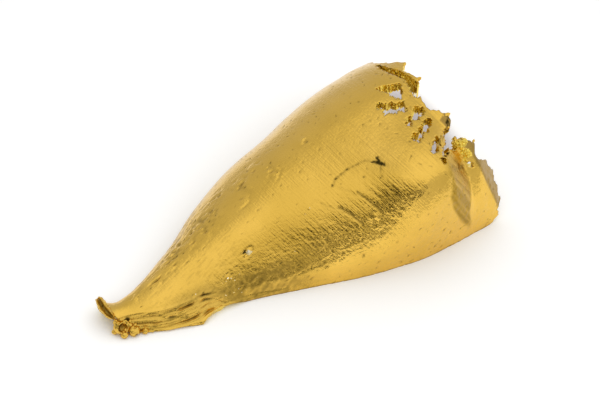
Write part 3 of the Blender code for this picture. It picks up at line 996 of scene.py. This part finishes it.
# knobs on the tail: place, radius, how faceted
KNOBS = (
    ((-0.42, -0.95, 0.50), 0.12, 0.12), ((-0.58, -0.98, 0.38), 0.11, 0.12),
    ((-0.34, -1.00, 0.36), 0.12, 0.12), ((-0.60, -1.10, 0.22), 0.25, 0.10),
    ((-1.00, -0.50, 0.24), 0.19, 0.10), ((0.06, -1.24, 0.32), 0.37, 0.22),
    ((0.72, -1.62, 0.18), 0.24, 0.15), ((0.42, -1.36, 0.14), 0.15, 0.2),
    ((0.28, -1.05, 0.62), 0.17, 0.3), ((0.14, -0.76, 0.84), 0.15, 0.3),
)
# prongs at the mouth: (along, round) of the foot and of the tip, lift of the tip, radii
PRONGS = (
    ((24.75, -0.30), (25.42, -0.345), 0.05, 0.34, 0.06), ((25.2, -0.532), (25.95, -0.52), 0.12, 0.13, 0.05),
    ((25.45, 0.035), (25.98, 0.022), 0.02, 0.15, 0.11), ((25.8, 0.185), (26.34, 0.205), 0.03, 0.12, 0.12),
    ((24.45, -0.37), (24.62, -0.372), 0.18, 0.10, 0.10),
)
# grains with a painted glint, set in the skin: along, round, size
GLINTS = (
    (8.98, -0.52, 0.36), (7.05, -0.665, 0.13), (7.25, -0.69, 0.10), (8.9, -0.80, 0.09), (4.6, -0.62, 0.08),
    (6.5, -0.85, 0.09), (13.62, -0.42, 0.09), (13.2, -0.45, 0.07),
)
MORE_GLINTS, MORE_ALONG, MORE_ROUND, MORE_SIZES = 16, (6.5, 12.0), (-0.92, -0.68), (0.04, 0.08)


def on_sheet(along, around, lift=0.0):
    """Place over the smooth surface, in millimetres."""
    x, turn = np.array([along]), np.array([around])
    return surface(x, turn)[0] + surface_normal(x, turn)[0] * lift


def knobs_mesh():
    """The lip, the neck under it, the cup and the knobs."""
    bm = bmesh.new()
    soil = bm.verts.layers.float.new("soil")
    tan = bm.verts.layers.float.new("tan")
    rope(bm, LIP, LIP_RADII, seed=61, rough=0.06, furrow=0.12, soil=soil, rounds=48, rings=72)
    rope(bm, NECK, NECK_RADII, seed=62, rough=0.04)
    rope(bm, BRIDGE, BRIDGE_RADII, seed=63, rough=0.05)
    cup(bm, soil, CUP_AT, CUP_RADIUS, CUP_FACING, CUP_OPENING, CUP_DEPTH)
    for seed, (centre, radius, rough) in enumerate(KNOBS):
        lump(bm, centre, radius, rough, 100 + 7 * seed)
    # a little of the wedge's dark brown as an even tone over all the knobs
    for vert in bm.verts:
        vert[tan] = 0.15
    for face in bm.faces:
        face.smooth = True
    return finish_mesh("tail_knobs", bm)


def prongs_mesh():
    """Tapered prongs, each from inside the sheet to past its rim."""
    bm = bmesh.new()
    for seed, (foot, tip, lift, wide, narrow) in enumerate(PRONGS):
        start, end = on_sheet(*foot, -0.25), on_sheet(*tip, lift)
        middle = (start + end) / 2
        radii = ((wide, wide * 0.8), ((wide + narrow) / 2,) * 2, (narrow, narrow))
        rope(bm, (start, middle, end), radii, seed=80 + seed, rough=0.05)
    for face in bm.faces:
        face.smooth = True
    return finish_mesh("rim_prongs", bm)


def glints_mesh():
    """Grains with a painted glint, placed one by one, and a few more scattered on the belt."""
    rng = np.random.default_rng(12)
    grains = [(rng, on_sheet(x, turn, 0.02), size) for x, turn, size in GLINTS]
    for _ in range(MORE_GLINTS):
        x, turn = rng.uniform(*MORE_ALONG), rng.uniform(*MORE_ROUND)
        grains.append((rng, on_sheet(x, turn, 0.0), rng.uniform(*MORE_SIZES)))
    return finish_mesh("painted_glint_grains", grow(grains))


# ---- Settings ----


class LeafShape(bpy.types.PropertyGroup):
    wall: bpy.props.FloatProperty(
        name="Wall", description="Thickness of the gold sheet", default=0.00045, unit="LENGTH", precision=5
    )


class GoldFinish(bpy.types.PropertyGroup):
    satin: bpy.props.FloatVectorProperty(
        name="Satin", description="Colour of the smooth skin", default=(0.83, 0.52, 0.085),
        subtype="COLOR", min=0.0, max=1.0,
    )
    crystal: bpy.props.FloatVectorProperty(
        name="Crystal", description="Colour of the torn crystalline gold", default=(0.98, 0.74, 0.13),
        subtype="COLOR", min=0.0, max=1.0,
    )
    roughness: bpy.props.FloatProperty(
        name="Roughness", description="How blurred the skin's reflections are", default=0.21, min=0.0, max=1.0
    )


class StudioLook(bpy.types.PropertyGroup):
    floor: bpy.props.FloatVectorProperty(
        name="Floor", description="Colour of the floor", default=(0.92, 0.92, 0.93), subtype="COLOR",
        min=0.0, max=1.0,
    )
    lens: bpy.props.FloatProperty(
        name="Lens", description="Focal length of the camera, in millimetres", default=100.0, min=10.0
    )


# ---- Materials ----


def feed(tree, socket, value):
    """Link a socket to another node's output, or give it a plain value."""
    if isinstance(value, bpy.types.NodeSocket):
        tree.links.new(value, socket)
    else:
        socket.default_value = value


def worked_out(tree, operation, *values, clamp=False):
    """The result of one math node."""
    node = tree.nodes.new("ShaderNodeMath")
    node.operation = operation
    node.use_clamp = clamp
    for socket, value in zip(node.inputs, values):
        feed(tree, socket, value)
    return node.outputs["Value"]


def vector_worked_out(tree, operation, *values):
    """The result of one vector math node: a number for a length or a dot product, else a vector."""
    node = tree.nodes.new("ShaderNodeVectorMath")
    node.operation = operation
    for socket, value in zip(node.inputs, values):
        feed(tree, socket, value)
    return node.outputs["Value" if operation in ("LENGTH", "DOT_PRODUCT") else "Vector"]


def along_x(tree, value):
    """A vector with the value as its X."""
    node = tree.nodes.new("ShaderNodeCombineXYZ")
    tree.links.new(value, node.inputs["X"])
    return node.outputs["Vector"]


def place_on(tree, coordinates="Object"):
    """Where on the object a point is, or which way it lies for the sky."""
    node = tree.nodes.get("Texture Coordinate") or tree.nodes.new("ShaderNodeTexCoord")
    return node.outputs[coordinates]


def painted(tree, name):
    """What the mesh has in its own attribute of that name."""
    node = tree.nodes.new("ShaderNodeAttribute")
    node.attribute_name = name
    return node.outputs["Fac"]


def noise(tree, scale, detail=2.0, place=None):
    """Noise over the object, with so many features to a metre."""
    node = tree.nodes.new("ShaderNodeTexNoise")
    node.inputs["Scale"].default_value = scale
    node.inputs["Detail"].default_value = detail
    tree.links.new(place_on(tree) if place is None else place, node.inputs["Vector"])
    return node.outputs["Fac"]


def bump(tree, height, distance, strength, below=None):
    """A bumped normal, on top of another one if it is given."""
    node = tree.nodes.new("ShaderNodeBump")
    node.inputs["Strength"].default_value = strength
    node.inputs["Distance"].default_value = distance
    tree.links.new(height, node.inputs["Height"])
    if below is not None:
        tree.links.new(below, node.inputs["Normal"])
    return node.outputs["Normal"]


def spread(tree, value, low, high, to_low, to_high, smooth=False):
    """The value, stretched from one range to another."""
    node = tree.nodes.new("ShaderNodeMapRange")
    node.interpolation_type = "SMOOTHSTEP" if smooth else "LINEAR"
    for name, number in (("From Min", low), ("From Max", high), ("To Min", to_low), ("To Max", to_high)):
        node.inputs[name].default_value = number
    tree.links.new(value, node.inputs["Value"])
    return node.outputs["Result"]


def mix(tree, factor, first, second):
    """Two colours mixed; each is a colour or an output."""
    node = tree.nodes.new("ShaderNodeMix")
    node.data_type = "RGBA"
    tree.links.new(factor, node.inputs["Factor"])
    for name, colour in (("A", first), ("B", second)):
        feed(tree, node.inputs[name], (*colour, 1.0) if isinstance(colour, tuple) else colour)
    return node.outputs["Result"]


def new_material(name, **values):
    """A material with one shader, its sockets set by name (an underscore stands for a space)."""
    material = bpy.data.materials.new(name)
    material.use_nodes = True
    tree = material.node_tree
    shader = tree.nodes["Principled BSDF"]
    for socket, value in values.items():
        shader.inputs[socket.replace("_", " ")].default_value = value
    return material, tree, shader


# the colour of the grime and of the painted shade laid on the skin
SOIL_AND_SHADE_COLOUR = (0.055, 0.038, 0.008)
# where the skin isn't plain satin gold: the sheet's attribute, and the colour there
SKINS = (
    ("pale", (0.71, 0.465, 0.12)),  # a painted pale sheen past the crest
    ("flap_shade", (0.38, 0.24, 0.055)),  # painted shade on the flap past its crease
    ("tan", (0.38, 0.225, 0.015)),  # painted shade on the wedge in the dent; the tail's knobs take a little of it as an even tone
)
CLOUDS, SPECKS, GRAIN, PEBBLES = 260.0, 6000.0, 5200.0, 4500.0  # features to a metre
COMBED = 9000.0  # growth lines to a metre
ALONG_LINES = (0.0, 420.0, 420.0)  # features to a metre down the growth lines
SOIL_AND_SHADE_ROUGHNESS = 0.35


def growth_lines(tree):
    """Fine leaning lines, strongest by the mouth."""
    place = place_on(tree)
    leaning = vector_worked_out(tree, "DOT_PRODUCT", place, (COMBED, 0.0, COMBED * LINES_LEAN))
    combed = vector_worked_out(tree, "MULTIPLY_ADD", place, ALONG_LINES, along_x(tree, leaning))
    near_mouth = spread(tree, painted(tree, "along"), 8.0, 17.0, 0.35, 1.15)
    return worked_out(tree, "MULTIPLY", noise(tree, 1.0, place=combed), near_mouth)


def satin_gold(finish):
    """The outer skin: clouded satin gold darkened by grime and painted shade, with specks, pebbles, growth
    lines, a painted pale sheen past the crest and painted shade on the flap and the dent's wedge.
    """
    material, tree, shader = new_material("satin_gold", Metallic=1.0)
    soil, grainy = painted(tree, "soil"), painted(tree, "grainy")
    paler = tuple(min(1.0, c * 1.04 + 0.012) for c in finish.satin)
    darker = tuple(c * 0.93 for c in finish.satin)
    colour = mix(tree, spread(tree, noise(tree, CLOUDS, 3.0), 0.35, 0.65, 0.0, 1.0), darker, paler)
    for name, skin in SKINS:
        colour = mix(tree, painted(tree, name), colour, skin)
    specks = spread(tree, noise(tree, SPECKS), 0.50, 0.75, 0.0, 0.12)
    # grime and painted shade pull the colour towards their own dark colour
    soil_and_shade_share = worked_out(tree, "MULTIPLY_ADD", specks, grainy, soil, clamp=True)
    feed(tree, shader.inputs["Base Color"], mix(tree, soil_and_shade_share, colour, SOIL_AND_SHADE_COLOUR))
    grain = noise(tree, GRAIN)
    blur = spread(tree, grain, 0.3, 0.7, finish.roughness - 0.05, finish.roughness + 0.06)
    feed(tree, shader.inputs["Roughness"], worked_out(tree, "MULTIPLY_ADD", soil, SOIL_AND_SHADE_ROUGHNESS, blur))
    lined = bump(tree, growth_lines(tree), 0.00005, 0.6)
    pebbled = bump(tree, worked_out(tree, "MULTIPLY", grainy, noise(tree, PEBBLES)), 0.00008, 0.7, lined)
    feed(tree, shader.inputs["Normal"], bump(tree, grain, 0.00004, 0.5, pebbled))
    return material


def clouded_gold(name, scale, deep, light, smoothest, roughest):
    """Gold whose colour and roughness change from place to place."""
    material, tree, shader = new_material(name, Metallic=1.0)
    cloud = noise(tree, scale)
    feed(tree, shader.inputs["Base Color"], mix(tree, spread(tree, cloud, 0.35, 0.65, 0.0, 1.0), deep, light))
    feed(tree, shader.inputs["Roughness"], spread(tree, cloud, 0.3, 0.7, smoothest, roughest))
    return material, tree, shader


def crystal_gold(finish):
    """The torn edges, the underside and the crystals."""
    deep = tuple(c * 0.85 for c in finish.crystal)
    material, tree, shader = clouded_gold("crystal_gold", 1500.0, deep, tuple(finish.crystal), 0.16, 0.42)
    feed(tree, shader.inputs["Normal"], bump(tree, noise(tree, 9000.0), 0.00002, 0.4))
    return material


def painted_glint_gold(_):
    """Pale colours on the grains set in the skin, a painted glint."""
    material, _, _ = clouded_gold("painted_glint_gold", 4000.0, (1.0, 0.80, 0.35), (1.0, 0.96, 0.80), 0.10, 0.25)
    return material


def made_material(maker):
    """The material that has its maker's name, made once."""
    return bpy.data.materials.get(maker.__name__) or maker(bpy.context.scene.gold_finish)


def add_piece(name, mesh, *makers):
    """Put a piece on the leaf's body, with one material for each maker."""
    piece = bpy.data.objects.new(name, mesh)
    for maker in makers:
        mesh.materials.append(made_material(maker))
    bpy.context.scene.collection.objects.link(piece)
    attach(piece, BODY)
    return piece


# ---- Operators ----


class GOLDLEAF_OT_sheet(bpy.types.Operator):
    """Build the curled sheet with its torn holes"""

    bl_idname = "goldleaf.sheet"
    bl_label = "Sheet"

    def execute(self, context):
        piece = add_piece("gold_sheet", sheet_mesh(context.scene.leaf_shape), satin_gold, crystal_gold)
        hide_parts(NODE)
        return {"FINISHED"}


class GOLDLEAF_OT_crystals(bpy.types.Operator):
    """Grow crystals on the sheet's torn edges"""

    bl_idname = "goldleaf.crystals"
    bl_label = "Edge crystals"

    def execute(self, context):
        sheet = bpy.data.meshes.get("gold_sheet")
        if sheet is None:
            raise RuntimeError("build the sheet before its crystals")
        add_piece("edge_crystals", crystals_mesh(sheet), crystal_gold)
        return {"FINISHED"}


class GOLDLEAF_OT_cluster(bpy.types.Operator):
    """Build the mass of crystals by the mouth"""

    bl_idname = "goldleaf.cluster"
    bl_label = "Crystal cluster"

    def execute(self, context):
        add_piece("crystal_cluster", cluster_mesh(), crystal_gold)
        return {"FINISHED"}


class GOLDLEAF_OT_knobs(bpy.types.Operator):
    """Build the lip, the cup and the knobs at the tail"""

    bl_idname = "goldleaf.knobs"
    bl_label = "Tail knobs"

    def execute(self, context):
        add_piece("tail_knobs", knobs_mesh(), satin_gold)
        return {"FINISHED"}


class GOLDLEAF_OT_prongs(bpy.types.Operator):
    """Build the prongs on the torn rim"""

    bl_idname = "goldleaf.prongs"
    bl_label = "Rim prongs"

    def execute(self, context):
        add_piece("rim_prongs", prongs_mesh(), satin_gold)
        return {"FINISHED"}


class GOLDLEAF_OT_grains(bpy.types.Operator):
    """Set the grains with a painted glint in the skin"""

    bl_idname = "goldleaf.grains"
    bl_label = "Bright grains"

    def execute(self, context):
        add_piece("painted_glint_grains", glints_mesh(), painted_glint_gold)
        return {"FINISHED"}


class GOLDLEAF_OT_studio(bpy.types.Operator):
    """Set the floor, the lights and the camera"""

    bl_idname = "goldleaf.studio"
    bl_label = "Studio"

    def execute(self, context):
        look = context.scene.studio_look
        make_floor(look)
        make_card("dark_card", on_dark_card, 0.0)
        make_card("bright_card", on_bright_card, BRIGHT_CARD_GLOW)
        make_lights()
        make_camera(look)
        return {"FINISHED"}


# ---- The stage ----

FLOOR_SIZE = 0.6
LIT_AT, LIT_FROM, LIT_TO, LIT = (0.002, 0.006, 0.0), 0.024, 0.070, 0.36  # the floor's glow round the leaf
AIR_REACH, AIR_POWER, AIR_SAMPLES = 0.010, 1.6, 12
# a painted shade of the leaf on the floor beyond its mouth: place, lean, size along y, reach and how dark
MOUTH_SHADE_AT, MOUTH_SHADE_LEAN, MOUTH_SHADE_SQUEEZE = (0.0151, 0.0028, 0.0), 0.13, 0.30
MOUTH_SHADE_FROM, MOUTH_SHADE_TO = 0.0008, 0.0027
MOUTH_SHADE_LEVEL, MOUTH_SHADE = 0.32, (0.40, 0.34, 0.36)
# a dark card in front of the leaf, seen only in the gold: its distance, and its height by azimuth
DARK_CARD_AWAY = 0.060
DARK_CARD_HEIGHT = (
    (-85.0, 0.020), (-60.0, 0.019), (-40.0, 0.0175), (-25.0, 0.0143), (-10.0, 0.0100), (0.0, 0.0060),
)
# a bright card by the mouth, seen only in the gold: where it stands, how far it reaches and its glow
BRIGHT_CARD_Y, BRIGHT_CARD_ACROSS, BRIGHT_CARD_UP = -0.015, (0.0035, 0.0165), (0.001, 0.013)
BRIGHT_CARD_GLOW = 0.66
CARD_COLUMNS, CARD_COLOUR = 24, (0.03, 0.028, 0.01, 1.0)
WHITE = (1.0, 1.0, 1.0, 1.0)


def add_stage(name, mesh, material):
    piece = bpy.data.objects.new(name, mesh)
    mesh.materials.append(material)
    bpy.context.scene.collection.objects.link(piece)
    return piece


def mouth_shade(tree):
    """How light the floor is round the painted shade beyond the mouth."""
    shifted = vector_worked_out(tree, "SUBTRACT", place_on(tree), MOUTH_SHADE_AT)
    upright = vector_worked_out(tree, "DOT_PRODUCT", shifted, (1.0, -MOUTH_SHADE_LEAN, 0.0))
    squeezed = (0.0, MOUTH_SHADE_SQUEEZE, 0.0)
    away = vector_worked_out(tree, "MULTIPLY_ADD", shifted, squeezed, along_x(tree, upright))
    away = vector_worked_out(tree, "LENGTH", away)
    return spread(tree, away, MOUTH_SHADE_FROM, MOUTH_SHADE_TO, MOUTH_SHADE_LEVEL, 1.0, smooth=True)


def make_floor(look):
    """A pale floor that glows a little round the leaf, less where it has little open air, with a painted
    shade beyond the mouth.
    """
    bm = bmesh.new()
    bmesh.ops.create_grid(bm, x_segments=1, y_segments=1, size=FLOOR_SIZE)
    material, tree, shader = new_material(
        "floor_white", Roughness=0.9, Specular_IOR_Level=0.0, Emission_Color=WHITE
    )
    away = vector_worked_out(tree, "LENGTH", vector_worked_out(tree, "ADD", place_on(tree), LIT_AT))
    glow = spread(tree, away, LIT_FROM, LIT_TO, LIT, 0.0, smooth=True)
    air = tree.nodes.new("ShaderNodeAmbientOcclusion")
    air.samples = AIR_SAMPLES
    air.inputs["Distance"].default_value = AIR_REACH
    glow = worked_out(tree, "MULTIPLY", glow, worked_out(tree, "POWER", air.outputs["AO"], AIR_POWER))
    # the painted shade beyond the mouth darkens both the glow and the floor's colour
    mouth = mouth_shade(tree)
    feed(tree, shader.inputs["Emission Strength"], worked_out(tree, "MULTIPLY", glow, mouth))
    feed(tree, shader.inputs["Base Color"], mix(tree, mouth, MOUTH_SHADE, tuple(look.floor)))
    add_stage("floor", finish_mesh("floor", bm), material)


def on_dark_card(across, up):
    """Place on the dark card, for across from -1 to 1 and up from 0 to 1."""
    azimuths, heights = zip(*DARK_CARD_HEIGHT)
    azimuth = np.interp(across, (-1.0, 1.0), (azimuths[0], azimuths[-1]))
    turn = math.radians(azimuth)
    height = np.interp(azimuth, azimuths, heights) * up
    return DARK_CARD_AWAY * math.sin(turn), -DARK_CARD_AWAY * math.cos(turn), height


def on_bright_card(across, up):
    """Place on the bright card, for across from -1 to 1 and up from 0 to 1."""
    (left, right), (low, high) = BRIGHT_CARD_ACROSS, BRIGHT_CARD_UP
    return left + (right - left) * (across + 1) / 2, BRIGHT_CARD_Y, low + (high - low) * up


def make_card(name, place, glow):
    """A card that only shows in the gold; the camera doesn't see it."""
    bm = bmesh.new()
    bmesh.ops.create_grid(bm, x_segments=CARD_COLUMNS, y_segments=1, size=1.0)
    for vert in bm.verts:
        vert.co = place(vert.co.x, (vert.co.y + 1) / 2)
    material, _, _ = new_material(
        name, Base_Color=CARD_COLOUR, Specular_IOR_Level=0.0, Roughness=1.0, Emission_Color=WHITE,
        Emission_Strength=glow,
    )
    card = add_stage(name, finish_mesh(name, bm), material)
    card.visible_camera = False
    card.visible_diffuse = False
    card.visible_shadow = False


def sky_ramp(tree, height, stops, tint=(1.0, 1.0, 1.0)):
    """Light by height through (place, level) stops, the darkest of them tinted."""
    node = tree.nodes.new("ShaderNodeValToRGB")
    elements = node.color_ramp.elements
    while len(elements) < len(stops):
        elements.new(0.5)
    levels = [level for _, level in stops]
    for element, (place, level) in zip(elements, stops):
        whiteness = (level - min(levels)) / (max(levels) - min(levels))
        element.position = place
        element.color = (*(level * (c + (1 - c) * whiteness) for c in tint), 1.0)
    tree.links.new(height, node.inputs["Fac"])
    return node.outputs["Color"]


DARK_TINT = (1.0, 0.93, 0.35)  # of what is darkest in front
SKY_SLANT, SLANT_STOPS_AT = 0.35, 0.25  # how much lower the light reaches on the right, and how far right
# brightness of the surroundings by the sine of the height above the horizon
FRONT_SKY = (
    (0.0, 0.02), (0.05, 0.06), (0.11, 0.38), (0.18, 0.56), (0.27, 0.67), (0.36, 0.75), (0.62, 0.90),
    (1.0, 0.96),
)
BACK_SKY = ((0.0, 0.54), (0.10, 0.62), (0.60, 0.61), (0.77, 0.60), (0.90, 0.87), (1.0, 0.95))
RIGHT_SKY = ((0.0, 0.72), (0.25, 0.78), (1.0, 0.94))
# which way each lies, and how squarely a ray points there where it starts and where it has taken over
SKY_SIDES = (((0.77, 0.64, 0.0), BACK_SKY, -0.50, -0.08), ((0.77, -0.64, 0.0), RIGHT_SKY, 0.52, 0.66))
PLAIN_BACKGROUND = (0.93, 0.93, 0.93)
SKY_STRENGTH = 1.10


def make_lights():
    """A soft studio sky, which the camera sees as a plain pale background."""
    world = bpy.data.worlds.new("studio")
    bpy.context.scene.world = world
    world.use_nodes = True
    tree = world.node_tree
    way = place_on(tree, "Generated")
    split = tree.nodes.new("ShaderNodeSeparateXYZ")
    tree.links.new(way, split.inputs[0])
    rightward = worked_out(tree, "MINIMUM", split.outputs["X"], SLANT_STOPS_AT)
    height = worked_out(tree, "MULTIPLY_ADD", rightward, SKY_SLANT, split.outputs["Z"])
    around = sky_ramp(tree, height, FRONT_SKY, DARK_TINT)
    for direction, stops, low, high in SKY_SIDES:
        towards = vector_worked_out(tree, "DOT_PRODUCT", way, direction)
        share = spread(tree, towards, low, high, 0.0, 1.0, smooth=True)
        around = mix(tree, share, around, sky_ramp(tree, height, stops))
    ray = tree.nodes.new("ShaderNodeLightPath")
    seen = mix(tree, ray.outputs["Is Camera Ray"], around, PLAIN_BACKGROUND)
    background = tree.nodes["Background"]
    tree.links.new(seen, background.inputs["Color"])
    background.inputs["Strength"].default_value = SKY_STRENGTH


CAMERA_AZIMUTH, CAMERA_ELEVATION = -37.0, 47.0  # degrees
CAMERA_TARGET = (15.0, 0.0, 2.5)  # along, across and up, in millimetres
FRAME_WIDTH, PIXELS_PER_MM, SENSOR = 600, 14.2, 36.0
CLIP = (0.001, 10.0)


def make_camera(look):
    data = bpy.data.cameras.new("camera")
    camera = bpy.data.objects.new("camera", data)
    bpy.context.scene.collection.objects.link(camera)
    azimuth, elevation = math.radians(CAMERA_AZIMUTH), math.radians(CAMERA_ELEVATION)
    level = math.cos(elevation)
    back = Vector((math.sin(azimuth) * level, -math.cos(azimuth) * level, math.sin(elevation)))
    target = Vector(to_frame(np.array(CAMERA_TARGET)))
    distance = look.lens / SENSOR * FRAME_WIDTH / PIXELS_PER_MM * MM
    camera.location = target + back * distance
    camera.rotation_mode = "QUATERNION"
    camera.rotation_quaternion = (-back).to_track_quat("-Z", "Y")
    data.lens = look.lens
    data.clip_start, data.clip_end = CLIP
    bpy.context.scene.camera = camera
    bpy.context.scene.view_settings.view_transform = "Standard"


class GOLDLEAF_PT_panel(bpy.types.Panel):
    bl_label = "Gold leaf"
    bl_idname = "GOLDLEAF_PT_panel"
    bl_space_type = "VIEW_3D"
    bl_region_type = "UI"
    bl_category = "Gold leaf"

    def draw(self, context):
        for operator in OPERATORS:
            self.layout.operator(operator.bl_idname)


OPERATORS = (
    GOLDLEAF_OT_sheet, GOLDLEAF_OT_crystals, GOLDLEAF_OT_cluster, GOLDLEAF_OT_knobs, GOLDLEAF_OT_prongs,
    GOLDLEAF_OT_grains, GOLDLEAF_OT_studio,
)
SETTINGS = (("leaf_shape", LeafShape), ("gold_finish", GoldFinish), ("studio_look", StudioLook))


def register():
    for name, group in SETTINGS:
        bpy.utils.register_class(group)
        setattr(bpy.types.Scene, name, bpy.props.PointerProperty(type=group))
    for operator in OPERATORS:
        bpy.utils.register_class(operator)
    bpy.utils.register_class(GOLDLEAF_PT_panel)


def unregister():
    bpy.utils.unregister_class(GOLDLEAF_PT_panel)
    for operator in reversed(OPERATORS):
        bpy.utils.unregister_class(operator)
    for name, group in reversed(SETTINGS):
        delattr(bpy.types.Scene, name)
        bpy.utils.unregister_class(group)


def main():
    register()
    bpy.ops.goldleaf.sheet()
    bpy.ops.goldleaf.crystals()
    bpy.ops.goldleaf.cluster()
    bpy.ops.goldleaf.knobs()
    bpy.ops.goldleaf.prongs()
    bpy.ops.goldleaf.grains()
    bpy.ops.goldleaf.studio()


if __name__ == "__main__":
    main()
